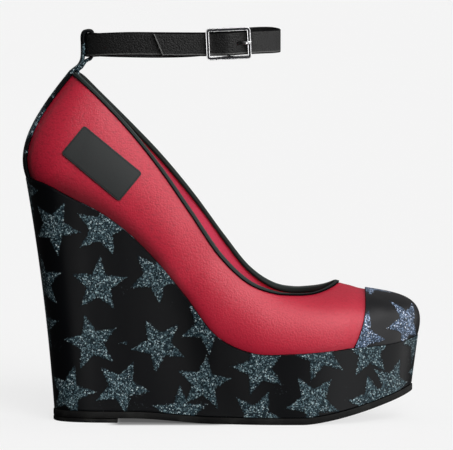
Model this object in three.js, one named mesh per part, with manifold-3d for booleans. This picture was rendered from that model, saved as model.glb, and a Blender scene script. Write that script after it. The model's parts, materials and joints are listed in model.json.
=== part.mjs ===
// A closed-toe platform wedge shoe with an ankle strap, right foot, European size 38, in millimetres.
// +X runs from heel to toe, +Y to the inner (medial) side and +Z up. The origin is on the floor, at the
// middle of the flat face of the heel's top piece.
import * as THREE from "three";
import { mergeVertices } from "three/addons/utils/BufferGeometryUtils.js";
import Module from "manifold-3d";

const wasm = await Module();
wasm.setup();

// Driving dimensions of the last and the sole unit
const SEAT_LENGTH = 218.4; // heel end to toe end of the seam where upper meets wedge, along the floor
const HEEL_REACH = 33; // how far that seam's heel end lies behind the origin
const BALL_WIDTH = 77; // width of the seam at the ball of the foot
const HEEL_HEIGHT = 136; // top of the wedge at the heel end, above the floor
const PLATFORM_HEIGHT = 39.8; // top of the wedge under the ball
const TOE_RISE = 7.6; // how much higher the seam ends at the toe
const COUNTER_HEIGHT = 65; // topline above the seam at the heel
const GAP = 0.3; // clearance between pieces that touch

// Driving dimensions of the pieces
const UPPER_WALL = 1.8;
const OUTSOLE_THICKNESS = 3.7;
const OUTSOLE_MARGIN = 0.4; // outsole edge beyond the wedge's foot
const TOE_SPRING = 16; // underside of the outsole's tip above the floor
const HEEL_LIFT = 2.5; // underside of the outsole above the floor at the heel
const LIFT_FRONT = 18; // straight front edge of the heel's top piece
const ARCH_START = 25; // the outsole comes down to the floor between these two
const ARCH_END = 72;
const SPRING_START = 122; // and leaves it here
const WEDGE_MARGIN = 0.8; // wedge edge beyond the upper at the seam
const WEDGE_WAIST = 1.7; // how far the heel's wall is hollowed halfway up
const WAIST_END = 100; // no longer hollowed in front of this
const INSOLE_THICKNESS = 3.2;
const CAP_THICKNESS = 0.9;
const CAP_LENGTH = 29; // toe end of the seam back to the toe cap's straight edge
const CAP_LINE = SEAT_LENGTH - HEEL_REACH - CAP_LENGTH;
const CAP_SWEEP = 6.5; // how far that edge runs back at the seam
const CAP_SWEEP_HEIGHT = 25;
const CAP_LEAD = 2.5; // the upper is fully set in this far behind that edge
const RECESS_RUN = 7; // length over which the upper is set in beside them
const OVERLAY_STEP = 0.6; // how far the toe cap and the heel stay stand out from the upper
const BINDING_THICKNESS = 0.7;
const BINDING_DEPTH = 1.7; // how far the folded binding reaches down outside the edge
const BINDING_TURN_IN = 1; // and inside it

// The heel stay and its loop, and the ankle strap
const STAY_WIDTH = 17; // at the seam
const TAB_WIDTH = 12; // above the topline
const TAB_END_WIDTH = 9; // of its end inside the heel
const STAY_THICKNESS = 1.4;
const STRAP_WIDTH = 13.2;
const STRAP_THICKNESS = 2;
const STRAP_SKIVED = 1.1; // thickness of the end that folds round the buckle's bar
const STRAP_HEIGHT = 210.1; // middle of the strap at the heel, above the floor
const TIP_SLANT = 5.5; // the tail's upper corner reaches this much further than its lower one

// The buckle
const BUCKLE_X = 79.8;
const BUCKLE_Y = -31.3;
const BUCKLE_LENGTH = 25;
const BUCKLE_HEIGHT = 17.6;
const BUCKLE_BAR = 1.9;
const BUCKLE_THICKNESS = 2;
const BUCKLE_TILT = THREE.MathUtils.degToRad(2.6);
const CENTRE_BAR_RADIUS = 1;
const CENTRE_BAR_INSET = 2.6; // centre bar behind the frame's plane
const PRONG_WIDTH = 1.8;
const PRONG_THICKNESS = 0.9;

// The label on the outer side, a bare rectangle
const LABEL_LENGTH = 41.7;
const LABEL_WIDTH = 20;
const LABEL_THICKNESS = 0.8;
const LABEL_X = 9.2;
const LABEL_Z = 145.6;
const LABEL_ANGLE = THREE.MathUtils.degToRad(-39.5);

// How finely the surfaces are divided
const SECTION_STEPS = 2; // from one row of the table below to the next
const TOE_STEPS = 4; // the same round the toe
const TOE_ROW = 11;
const WALL_STEPS = 9; // seam to topline
const WEDGE_STEPS = 5; // sole to seam

// Each row is one section of the last, from the heel end to the toe end. A section's line runs up from
// the seam to the topline. X places are shares of SEAT_LENGTH, widths are shares of BALL_WIDTH to the
// outer (lateral) and inner (medial) side, drop is a share of the fall from heel to ball, rise a share
// of TOE_RISE and top a share of COUNTER_HEIGHT. out and up bulge the wall, low and high in the section.
const COLUMNS = [
  "seatX", "seatOuter", "seatInner", "drop", "rise",
  "rimX", "rimOuter", "rimInner", "topOuter", "topInner",
  "outLow", "upLow", "outHigh", "upHigh",
  "footX", "footOuter", "footInner",
];
const SECTIONS = [
  [0, 0, 0, 1, 0, 0.111, 0, 0, 1.052, 1.052, 0.194, -0.028, 0.124, -0.034, 0.069, 0, 0],
  [0.016, 0.169, 0.169, 0.998, 0, 0.124, 0.104, 0.104, 1.063, 1.063, 0.175, -0.025, 0.113, -0.031, 0.08, 0.149, 0.149],
  [0.05, 0.273, 0.273, 0.976, 0, 0.144, 0.188, 0.188, 1.044, 1.044, 0.136, -0.015, 0.088, -0.018, 0.108, 0.234, 0.234],
  [0.114, 0.331, 0.325, 0.902, 0, 0.183, 0.253, 0.247, 0.991, 0.976, 0.097, -0.008, 0.071, -0.008, 0.16, 0.29, 0.286],
  [0.188, 0.351, 0.331, 0.817, 0, 0.261, 0.292, 0.279, 0.901, 0.899, 0.084, 0, 0.065, 0, 0.22, 0.309, 0.292],
  [0.261, 0.357, 0.325, 0.697, 0, 0.343, 0.312, 0.286, 0.836, 0.887, 0.071, 0, 0.058, 0, 0.284, 0.316, 0.283],
  [0.334, 0.37, 0.318, 0.532, 0, 0.426, 0.338, 0.299, 0.783, 0.895, 0.065, 0, 0.052, 0, 0.348, 0.325, 0.277],
  [0.408, 0.396, 0.325, 0.329, 0, 0.504, 0.37, 0.331, 0.706, 0.83, 0.065, 0, 0.052, 0, 0.417, 0.351, 0.292],
  [0.49, 0.442, 0.37, 0.096, 0, 0.572, 0.39, 0.37, 0.594, 0.64, 0.078, 0.015, 0.065, 0.023, 0.497, 0.409, 0.344],
  [0.582, 0.487, 0.435, 0.004, 0, 0.632, 0.37, 0.377, 0.527, 0.526, 0.104, 0.046, 0.071, 0.077, 0.586, 0.468, 0.416],
  [0.678, 0.5, 0.487, 0, 0, 0.682, 0.312, 0.338, 0.491, 0.487, 0.11, 0.069, 0.065, 0.123, 0.68, 0.484, 0.471],
  [0.769, 0.474, 0.5, 0, 0.17, 0.728, 0.227, 0.273, 0.48, 0.491, 0.13, 0.1, 0.097, 0.115, 0.767, 0.46, 0.486],
  [0.847, 0.409, 0.474, 0, 0.41, 0.758, 0.149, 0.208, 0.495, 0.504, 0.156, 0.135, 0.117, 0.1, 0.84, 0.395, 0.46],
  [0.916, 0.305, 0.403, 0, 0.54, 0.777, 0.078, 0.149, 0.517, 0.524, 0.195, 0.192, 0.11, 0.069, 0.906, 0.291, 0.387],
  [0.966, 0.175, 0.299, 0, 0.76, 0.788, 0.013, 0.091, 0.534, 0.541, 0.243, 0.232, 0.13, 0.046, 0.955, 0.164, 0.283],
  [1, -0.091, 0.091, 0, 1, 0.792, -0.039, 0.039, 0.544, 0.544, 0.294, 0.268, 0.13, 0.027, 0.987, -0.084, 0.084],
].map((row) => Object.fromEntries(row.map((value, i) => [COLUMNS[i], value])));

// Both sides of the table as one ring of rows: heel end, outer side, toe end, inner side
const RING = [
  ...SECTIONS.map((row) => ({ row, side: "Outer", sign: -1 })),
  ...SECTIONS.slice(1, -1).reverse().map((row) => ({ row, side: "Inner", sign: 1 })),
];
const alongX = (share) => share * SEAT_LENGTH - HEEL_REACH;
const ringCurve = (point) => new THREE.CatmullRomCurve3(RING.map(point), true);

const seat = ringCurve(({ row, side, sign }) => new THREE.Vector3(
  alongX(row.seatX),
  sign * row["seat" + side] * BALL_WIDTH,
  PLATFORM_HEIGHT + row.drop * (HEEL_HEIGHT - PLATFORM_HEIGHT) + row.rise * TOE_RISE,
));

// Height of the seam at a place along the shoe, from its outer half
function seatHeight(x) {
  let [low, high] = [0, 0.5];
  for (let i = 0; i < 30; i++) {
    const middle = (low + high) / 2;
    if (seat.getPoint(middle).x < x) low = middle;
    else high = middle;
  }
  return seat.getPoint(low).z;
}

const rim = ringCurve(({ row, side, sign }) => new THREE.Vector3(
  alongX(row.rimX),
  sign * row["rim" + side] * BALL_WIDTH,
  seatHeight(alongX(row.rimX)) + row["top" + side] * COUNTER_HEIGHT,
));
const bulgeLow = ringCurve(({ row }) => new THREE.Vector3(row.outLow, row.upLow, 0));
const bulgeHigh = ringCurve(({ row }) => new THREE.Vector3(row.outHigh, row.upHigh, 0));

const wrap = (t) => t - Math.floor(t);
const smooth = (u) => THREE.MathUtils.smoothstep(u, 0, 1);

// The way out of the shoe at t, level with the floor
function outward(curve, t) {
  const along = curve.getPoint(wrap(t + 0.002)).sub(curve.getPoint(wrap(t - 0.002)));
  return new THREE.Vector3(along.y, -along.x, 0).normalize();
}

// The upper's outer face. t goes round from 0 at the heel, past 0.5 at the toe, to 1, and h from 0 at
// the seam to 1 at the topline.
function face(t, h) {
  const turn = wrap(t);
  const start = seat.getPoint(turn);
  const end = rim.getPoint(turn);
  const out = outward(seat, turn);
  const control = (share, bulge) => start.clone().lerp(end, share)
    .addScaledVector(out, bulge.x * BALL_WIDTH)
    .setZ(start.z + (end.z - start.z) * share + bulge.y * COUNTER_HEIGHT);
  const low = control(0.33, bulgeLow.getPoint(turn));
  const high = control(0.67, bulgeHigh.getPoint(turn));
  return new THREE.CubicBezierCurve3(start, low, high, end).getPoint(h);
}

function faceNormal(t, h) {
  const step = 0.004;
  const round = face(t + step, h).sub(face(t - step, h));
  const up = face(t, Math.min(1, h + step)).sub(face(t, Math.max(0, h - step)));
  return round.cross(up).normalize();
}

// The toe cap's straight edge, by height above the seam
const capEdge = (height) => CAP_LINE - CAP_SWEEP * Math.max(0, 1 - height / CAP_SWEEP_HEIGHT) ** 2;

// The upper is set in under the toe cap and the heel stay, so that they stand out by OVERLAY_STEP only
function recess(point) {
  const pastCap = (point.x + CAP_LEAD - capEdge(point.z - seatHeight(point.x))) / RECESS_RUN + 1;
  const cap = (CAP_THICKNESS + GAP - OVERLAY_STEP) * smooth(pastCap);
  const inStay = (STAY_WIDTH / 2 - Math.abs(point.y)) / RECESS_RUN + 1;
  const stay = point.x < 0 ? (STAY_THICKNESS + GAP - OVERLAY_STEP) * smooth(inStay) : 0;
  return Math.max(cap, stay);
}

function offFace(t, h, distance) {
  const point = face(t, h);
  return point.clone().addScaledVector(faceNormal(t, h), distance - recess(point));
}

// Geometry from points and the quads between them
class Skin {
  points = [];
  corners = [];
  add(point) {
    this.points.push(point.x, point.y, point.z);
    return this.points.length / 3 - 1;
  }
  quad(a, b, c, d) {
    this.corners.push(a, b, c, a, c, d);
  }
  // Joins two rows of vertices of the same length
  strip(lower, upper, closed = false) {
    const last = closed ? lower.length : lower.length - 1;
    for (let i = 0; i < last; i++) {
      const next = (i + 1) % lower.length;
      this.quad(lower[i], lower[next], upper[next], upper[i]);
    }
  }
  geometry() {
    const made = new THREE.BufferGeometry();
    made.setAttribute("position", new THREE.Float32BufferAttribute(this.points, 3));
    made.setIndex(this.corners);
    const merged = mergeVertices(made, 1e-4);
    const kept = [];
    for (let i = 0; i < merged.index.count; i += 3) {
      const [a, b, c] = [0, 1, 2].map((k) => merged.index.getX(i + k));
      if (a !== b && b !== c && c !== a) kept.push(a, b, c);
    }
    merged.setIndex(kept);
    return facingOut(merged);
  }
}

function facingOut(geometry) {
  const position = geometry.getAttribute("position");
  const corner = [0, 1, 2].map(() => new THREE.Vector3());
  let volume = 0;
  for (let i = 0; i < geometry.index.count; i += 3) {
    corner.forEach((v, k) => v.fromBufferAttribute(position, geometry.index.getX(i + k)));
    volume += corner[0].dot(corner[1].clone().cross(corner[2]));
  }
  if (volume < 0) geometry.setIndex([...geometry.index.array].reverse());
  return geometry;
}

// A tube of sections, each a ring of points. It closes on itself, or has flat ends.
function tube(sections, closed) {
  const skin = new Skin();
  const rings = sections.map((ring) => ring.map((point) => skin.add(point)));
  const last = closed ? rings.length : rings.length - 1;
  for (let i = 0; i < last; i++) skin.strip(rings[i], rings[(i + 1) % rings.length], true);
  if (!closed) {
    for (const [ring, turned] of [[rings[0], true], [rings.at(-1), false]]) {
      const half = ring.length / 2;
      for (let i = 0; i < half - 1; i++) {
        const quad = [ring[i], ring[i + 1], ring[ring.length - 2 - i], ring[ring.length - 1 - i]];
        skin.quad(...(turned ? quad.reverse() : quad));
      }
    }
  }
  return skin.geometry();
}

// A plate between an upper and a lower ring of points that go round the shoe from the heel end: walls
// in steps between them, and a top and an underside of strips from the outer to the inner side
function plate(rings) {
  const skin = new Skin();
  const rows = rings.map((ring) => ring.map((point) => skin.add(point)));
  for (let i = 0; i < rows.length - 1; i++) skin.strip(rows[i], rows[i + 1], true);
  for (const [row, turned] of [[rows[0], false], [rows.at(-1), true]]) {
    const count = row.length;
    for (let i = 0; i < count / 2; i++) {
      const quad = [row[i], row[(count - i) % count], row[(count - i - 1) % count], row[i + 1]];
      skin.quad(...(turned ? quad.reverse() : quad));
    }
  }
  return skin.geometry();
}

// A sheet with a wall: rows of pairs of points, one on each face
function sheet(rows) {
  return tube(rows.map((row) => [...row.map(([near]) => near), ...row.map(([, far]) => far).reverse()]), false);
}

// Between mesh and solid, for cuts and joins
function toSolid(geometry) {
  const bare = geometry.clone();
  bare.deleteAttribute("normal");
  bare.deleteAttribute("uv");
  const merged = mergeVertices(bare, 1e-4);
  return new wasm.Manifold(new wasm.Mesh({
    numProp: 3,
    vertProperties: merged.getAttribute("position").array,
    triVerts: new Uint32Array(merged.index.array),
  }));
}

function fromSolid(solid) {
  const mesh = solid.getMesh();
  const made = new THREE.BufferGeometry();
  made.setAttribute("position", new THREE.Float32BufferAttribute(mesh.vertProperties, 3));
  made.setIndex([...mesh.triVerts]);
  return made;
}

const round = RING.flatMap((_, i) => {
  const toe = Math.min(i, RING.length - 1 - i) >= TOE_ROW;
  const count = toe ? TOE_STEPS : SECTION_STEPS;
  return Array.from({ length: count }, (_, k) => (i + k / count) / RING.length);
});
const RIM_ROW = 0.955; // a row of the wall's surface close to its edge
const steps = (count) => Array.from({ length: count + 1 }, (_, i) => i / count);

// Underside of the outsole: flat under the ball, lifted over the heel's top piece and sprung at the toe
function soleUnderside(x) {
  const arch = HEEL_LIFT * smooth((ARCH_END - x) / (ARCH_END - ARCH_START));
  const toe = alongX(SECTIONS.at(-1).footX);
  const spring = TOE_SPRING * Math.max(0, (x - SPRING_START) / (toe - SPRING_START)) ** 1.45;
  return arch + spring;
}

// The outline where wedge meets outsole, a margin outside it and a height above the sole's underside
const foot = ringCurve(({ row, side, sign }) => new THREE.Vector3(
  alongX(row.footX), sign * row["foot" + side] * BALL_WIDTH, 0,
));
function footPoint(t, margin, height) {
  const point = foot.getPoint(t);
  const z = soleUnderside(point.x) + height;
  return point.addScaledVector(outward(foot, t), margin).setZ(z);
}

// Outsole: a rubber sheet cut to the outline of the wedge
function outsole() {
  return plate([OUTSOLE_THICKNESS, 0].map((z) => round.map((t) => footPoint(t, OUTSOLE_MARGIN, z))));
}

// Heel top piece: the flat block under the heel end, with a straight front
function heelTopPiece() {
  let [inside, outside] = [0, 0.5];
  for (let i = 0; i < 30; i++) {
    const middle = (inside + outside) / 2;
    if (foot.getPoint(middle).x < LIFT_FRONT) inside = middle;
    else outside = middle;
  }
  const turns = steps(24).map((share) => wrap((2 * share - 1) * inside));
  const ring = (z) => turns.map((t) => footPoint(t, OUTSOLE_MARGIN, 0).setZ(z));
  const [top, floor] = [ring(HEEL_LIFT - GAP), ring(0)];
  return sheet(top.map((point, i) => [point, floor[i]]).slice(0, top.length / 2 + 0.5)
    .map((pair, i) => [pair, [top.at(-1 - i), floor.at(-1 - i)]]));
}

// Wedge: heel and platform in one block, from the outsole up to the seam
function wedge() {
  const foundation = OUTSOLE_THICKNESS + GAP;
  const ring = (share) => round.map((t) => {
    const top = seat.getPoint(t).addScaledVector(outward(seat, t), WEDGE_MARGIN);
    top.z -= GAP;
    const base = footPoint(t, 0, foundation);
    const hollow = WEDGE_WAIST * smooth((WAIST_END - base.x) / WAIST_END) * 4 * share * (1 - share);
    return base.lerp(top, share).addScaledVector(outward(foot, t), -hollow);
  });
  return plate(steps(WEDGE_STEPS).reverse().map(ring));
}

// Insole: a padded board inside the upper, on top of the wedge
function insole() {
  const inset = UPPER_WALL + 4 * GAP;
  const ring = (z) => round.map((t) => {
    const point = seat.getPoint(t).addScaledVector(outward(seat, t), -inset);
    point.z += z;
    return point;
  });
  return plate([ring(INSOLE_THICKNESS), ring(0)]);
}

// Upper: one hollow wall, open at the topline and underneath
const wallRows = [...steps(WALL_STEPS).slice(0, -1), RIM_ROW, 1];

function upper() {
  return tube(round.map((t) => [
    ...wallRows.map((h) => offFace(t, h, 0)),
    ...wallRows.toReversed().map((h) => offFace(t, h, -UPPER_WALL)),
  ]), true);
}

// Toe cap: lasted over the vamp, from the seam up to a straight edge across the toes. reach is how far
// up the wall it comes at t.
function capReach(t) {
  const inCap = (h) => {
    const point = face(t, h);
    return point.x > capEdge(point.z - seatHeight(point.x));
  };
  if (!inCap(0)) return 0;
  let [low, high] = [0, 1];
  for (let i = 0; i < 24; i++) {
    const middle = (low + high) / 2;
    if (inCap(middle)) low = middle;
    else high = middle;
  }
  return low;
}

function toeCap() {
  const [first, last] = [1, -1].map((side) => {
    let [out, inside] = [0.5 - side * 0.2, 0.5];
    for (let i = 0; i < 24; i++) {
      const middle = (out + inside) / 2;
      if (capReach(middle) > 0.01) inside = middle;
      else out = middle;
    }
    return inside;
  });
  const turns = [first, ...round.filter((t) => t > first + 1e-3 && t < last - 1e-3), last];
  return sheet(turns.map((t) => {
    const reach = capReach(t);
    return wallRows.map((share) => Math.min(share, reach)).map((h) => [
      offFace(t, h, GAP + CAP_THICKNESS),
      offFace(t, h, GAP),
    ]);
  }));
}

// Topline binding: a strip folded over the edge of the upper, from one side of the heel stay round the
// throat to the other
function toplineBinding() {
  const slack = GAP + 0.08;
  const outer = slack + BINDING_THICKNESS;
  const start = turnAt(-TAB_WIDTH / 2 - 2 * GAP, 1);
  const turns = [start, ...round.filter((t) => t > start + 0.004 && t < 1 - start - 0.004), 1 - start];
  return tube(turns.map((t) => {
    const rise = face(t, 1).distanceTo(face(t, RIM_ROW)) / (1 - RIM_ROW);
    const up = face(t, 1).sub(face(t, 0.98)).normalize();
    const onFace = (depth, out) => offFace(t, 1 - depth / rise, out);
    const over = (out, lift) => offFace(t, 1, out).addScaledVector(up, lift);
    return [
      onFace(BINDING_DEPTH, outer), over(outer, 0), over(outer - 0.5, outer),
      over(0.5 - UPPER_WALL - outer, outer), over(-UPPER_WALL - outer, 0), onFace(BINDING_TURN_IN, -UPPER_WALL - outer),
      onFace(BINDING_TURN_IN, -UPPER_WALL - slack), over(-UPPER_WALL - slack, 0), over(-UPPER_WALL - slack, slack),
      over(slack, slack), over(slack, 0), onFace(BINDING_DEPTH, slack),
    ];
  }), false);
}

// Side label: a thin plate on the outer quarter, curved to the upper
function onOuterSide(x, z) {
  let [t, h] = [0.12, 0.5];
  const step = 0.001;
  for (let i = 0; i < 40; i++) {
    const here = face(t, h);
    const byT = face(t + step, h).sub(here).divideScalar(step);
    const byH = face(t, h + step).sub(here).divideScalar(step);
    const [dx, dz] = [x - here.x, z - here.z];
    const area = byT.x * byH.z - byH.x * byT.z;
    t += (dx * byH.z - dz * byH.x) / area;
    h += (byT.x * dz - byT.z * dx) / area;
  }
  return [t, h];
}

function sideLabel() {
  const [cos, sin] = [Math.cos(LABEL_ANGLE), Math.sin(LABEL_ANGLE)];
  return sheet(steps(10).map((along) => steps(5).map((across) => {
    const a = (along - 0.5) * LABEL_LENGTH;
    const b = (across - 0.5) * LABEL_WIDTH;
    const [t, h] = onOuterSide(LABEL_X + a * cos - b * sin, LABEL_Z + a * sin + b * cos);
    return [offFace(t, h, GAP + LABEL_THICKNESS), offFace(t, h, GAP)];
  })));
}

// Where the face lies y to the side of the heel's middle, at h
function turnAt(y, h) {
  let [low, high] = [0, 0.12];
  for (let i = 0; i < 24; i++) {
    const middle = (low + high) / 2;
    if (Math.abs(face(middle, h).y) < Math.abs(y)) low = middle;
    else high = middle;
  }
  return y > 0 ? -low : low;
}

// Heel stay: one strip that runs up the back seam, stands above the topline, folds forward over the
// ankle strap and comes down again inside the heel. Its path above the topline is the middle of the
// strip's thickness, seen from the side.
const LOOP_BACK = -2.2; // middle of the loop's back and front walls
const LOOP_FRONT = 3.1;
const LOOP_TOP = STRAP_HEIGHT + STRAP_WIDTH / 2 + 2 * GAP + STAY_THICKNESS / 2;
const LOOP_FOOT = STRAP_HEIGHT - STRAP_WIDTH / 2 - 2 * GAP - STAY_THICKNESS / 2;
const LOOP_BEND = 14.5; // radius that the strip keeps across, round the back of the ankle
const TAB_STEP = STAY_THICKNESS + GAP; // from layer to layer where the two lie together,
const TAB_LEAN = 2.1; // this far behind the loop's back wall
const TAB_DROP = 3.5; // and this far below its foot

function heelStay() {
  const across = (width) => steps(6).map((share) => (share - 0.5) * width);
  const onCounter = (h, width, near, far) => across(width).map((y) => {
    const t = turnAt(y, h);
    return [offFace(t, h, near), offFace(t, h, far)];
  });
  const outside = steps(WALL_STEPS).slice(0, -1).map((h) => onCounter(
    h, THREE.MathUtils.lerp(STAY_WIDTH, TAB_WIDTH, h), GAP + STAY_THICKNESS, GAP));
  const inside = [0.97, 0.9, 0.83].map((h) => onCounter(
    h, TAB_END_WIDTH, -UPPER_WALL - GAP - STAY_THICKNESS, -UPPER_WALL - GAP));
  const edge = offFace(0, 1, GAP + STAY_THICKNESS / 2);
  const path = new THREE.CatmullRomCurve3([
    [edge.x, edge.z],
    [edge.x + 2.2, edge.z + 1.7],
    [LOOP_BACK - TAB_LEAN, LOOP_FOOT - TAB_DROP],
    [LOOP_BACK - 0.7, LOOP_FOOT - 1.2],
    [LOOP_BACK - 0.1, LOOP_FOOT + 1.4],
    [LOOP_BACK, STRAP_HEIGHT],
    [LOOP_BACK, LOOP_TOP - 2.4],
    [LOOP_BACK + 0.9, LOOP_TOP - 0.5],
    [(LOOP_BACK + LOOP_FRONT) / 2, LOOP_TOP],
    [LOOP_FRONT - 0.9, LOOP_TOP - 0.5],
    [LOOP_FRONT, LOOP_TOP - 2.4],
    [LOOP_FRONT, STRAP_HEIGHT],
    [LOOP_FRONT - 0.1, LOOP_FOOT + 2.4],
    [LOOP_FRONT - 1.2, LOOP_FOOT + 0.3],
    [LOOP_BACK + TAB_STEP, LOOP_FOOT - 1.1],
    [LOOP_BACK - TAB_LEAN + TAB_STEP * 0.8, LOOP_FOOT - TAB_DROP - TAB_STEP * 0.6],
    [edge.x + TAB_STEP + 2.9, edge.z + 0.5],
    [edge.x + UPPER_WALL + 1.9, edge.z - 2.5],
  ].map(([x, z]) => new THREE.Vector3(x, 0, z)));
  const loop = steps(30).map((share) => {
    const middle = path.getPoint(share);
    const along = path.getTangent(share);
    const out = new THREE.Vector3(-along.z, 0, along.x);
    const width = THREE.MathUtils.lerp(TAB_WIDTH, TAB_END_WIDTH, smooth(share * 2 - 1));
    return across(width).map((y) => {
      const place = middle.clone().setY(y);
      place.x += LOOP_BEND - Math.sqrt(LOOP_BEND ** 2 - y ** 2);
      return [STAY_THICKNESS / 2, -STAY_THICKNESS / 2].map((d) => place.clone().addScaledVector(out, d));
    });
  });
  return sheet([...outside, ...loop, ...inside]);
}

// Ankle strap: from its fold round the buckle's centre bar, back along the outer side, through the heel
// loop, round the ankle and out again as the tail, under the frame and over the bar
const BAR_Y = BUCKLE_Y + CENTRE_BAR_INSET;
const EYE = CENTRE_BAR_RADIUS + 2 * GAP + STRAP_SKIVED / 2; // radius of the folded strap's middle
const OVER_BAR = EYE + STRAP_SKIVED / 2 + GAP + STRAP_THICKNESS / 2; // tail's middle outside the bar's
const UNDER_FRAME = CENTRE_BAR_INSET - BUCKLE_THICKNESS / 2 - GAP - STRAP_THICKNESS / 2;

// Rows beside the buckle: x from the bar, y inward from the bar, thickness
const FOLD_PATH = [
  [-13, 3.5, STRAP_SKIVED],
  [-7, 3, STRAP_SKIVED],
  [-2.6, 2.2, STRAP_SKIVED],
  [0, EYE, STRAP_SKIVED],
  [EYE * 0.71, EYE * 0.71, STRAP_SKIVED],
  [EYE, 0, STRAP_SKIVED],
  [EYE * 0.71, -EYE * 0.71, STRAP_SKIVED],
  [0, -EYE, STRAP_SKIVED],
  [-2.4, -1.2, STRAP_SKIVED],
  [-5.6, 0.8, STRAP_SKIVED],
  [-9, 1.8, STRAP_SKIVED],
  [-13, 1.95, STRAP_SKIVED],
  [-18, 2.6, STRAP_THICKNESS],
];
const TAIL_PATH = [
  [13.2, -UNDER_FRAME + 0.2, STRAP_THICKNESS],
  [9.3, -UNDER_FRAME, STRAP_THICKNESS],
  [5, -2.5, STRAP_THICKNESS],
  [0, -OVER_BAR, STRAP_THICKNESS],
  [-5, -2.5, STRAP_THICKNESS],
  [-9.3, -UNDER_FRAME, STRAP_THICKNESS],
  [-13.2, -UNDER_FRAME + 0.1, STRAP_THICKNESS],
];
const BUCKLE_RISE = 2.6; // buckle's middle over STRAP_HEIGHT
const BUCKLE_Z = STRAP_HEIGHT + BUCKLE_RISE;
const besideBuckle = ([x, y, thickness]) => [
  BUCKLE_X + x, BAR_Y + y, BUCKLE_RISE + Math.max(-14, x) * Math.tan(BUCKLE_TILT), thickness,
];

// Rows round the ankle: x, y, height over STRAP_HEIGHT, thickness
const ANKLE_PATH = [
  [42, -26.5, 2.1, STRAP_THICKNESS],
  [25, -23.2, 2, STRAP_THICKNESS],
  [11, -16.8, 1.2, STRAP_THICKNESS],
  [3, -8.6, 0.3, STRAP_THICKNESS],
  [0.2, 0, 0, STRAP_THICKNESS],
  [3, 8.6, -0.3, STRAP_THICKNESS],
  [11, 16.8, -1.2, STRAP_THICKNESS],
  [25, 23.6, -2, STRAP_THICKNESS],
  [42, 27.2, -2.4, STRAP_THICKNESS],
  [60, 27.8, -1.9, STRAP_THICKNESS],
  [78, 25.4, 0.2, STRAP_THICKNESS],
  [93, 19.2, 2.1, STRAP_THICKNESS],
  [103.5, 10.4, 2.8, STRAP_THICKNESS],
  [108, -1, 2.5, STRAP_THICKNESS],
  [104.5, -12.6, 2.7, STRAP_THICKNESS],
  [98.8, -21, 3, STRAP_THICKNESS],
];
const STRAP_PATH = [
  ...FOLD_PATH.map(besideBuckle),
  ...ANKLE_PATH,
  ...TAIL_PATH.map(besideBuckle),
  [62, -28.9, 2, STRAP_THICKNESS],
  [52, -29.3, 2, STRAP_THICKNESS],
  [40.6, -29.1, 2, STRAP_THICKNESS],
];

function strapSection(path, depth, share, slant) {
  const middle = path.getPoint(share);
  const ahead = path.getTangent(share).setZ(0).normalize();
  const left = new THREE.Vector3(-ahead.y, ahead.x, 0);
  const half = depth.getPoint(share).x / 2;
  const corner = (side, level) => middle.clone()
    .addScaledVector(left, side * half)
    .addScaledVector(ahead, slant * level)
    .setZ(middle.z + level * STRAP_WIDTH / 2);
  return [corner(-1, -1), corner(1, -1), corner(1, 1), corner(-1, 1)];
}

function ankleStrap() {
  const path = new THREE.CatmullRomCurve3(
    STRAP_PATH.map(([x, y, up]) => new THREE.Vector3(x, y, STRAP_HEIGHT + up)));
  const depth = new THREE.CatmullRomCurve3(STRAP_PATH.map((row) => new THREE.Vector3(row[3], 0, 0)));
  const count = 3 * (STRAP_PATH.length - 1);
  let strap = toSolid(tube(steps(count).map((share) => {
    const slant = (TIP_SLANT / 2) * smooth((share * count - count + 6) / 6);
    return strapSection(path, depth, share, slant);
  }), false));
  // The prong's ring stands in a slot in the fold, and the prong comes out through a slot in the tail
  for (const [from, to, back, front] of [[-3.6, 3.2, -3.2, 2.9], [4.4, 9, -3, 4]]) {
    const slot = new THREE.BoxGeometry(to - from, PRONG_WIDTH + 2 * GAP, front - back)
      .translate((from + to) / 2, 0, (back + front) / 2 - CENTRE_BAR_INSET);
    strap = strap.subtract(toSolid(onBuckle(slot)));
  }
  return fromSolid(strap);
}

// Buckle frame: a rounded rectangle of flat bar with a round centre bar behind it
function roundedRectangle(shape, length, height, radius) {
  const [x, y] = [length / 2, height / 2];
  shape.moveTo(-x + radius, -y);
  shape.lineTo(x - radius, -y);
  shape.absarc(x - radius, -y + radius, radius, -Math.PI / 2, 0);
  shape.lineTo(x, y - radius);
  shape.absarc(x - radius, y - radius, radius, 0, Math.PI / 2);
  shape.lineTo(-x + radius, y);
  shape.absarc(-x + radius, y - radius, radius, Math.PI / 2, Math.PI);
  shape.lineTo(-x, -y + radius);
  shape.absarc(-x + radius, -y + radius, radius, Math.PI, Math.PI * 1.5);
  return shape;
}

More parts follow.
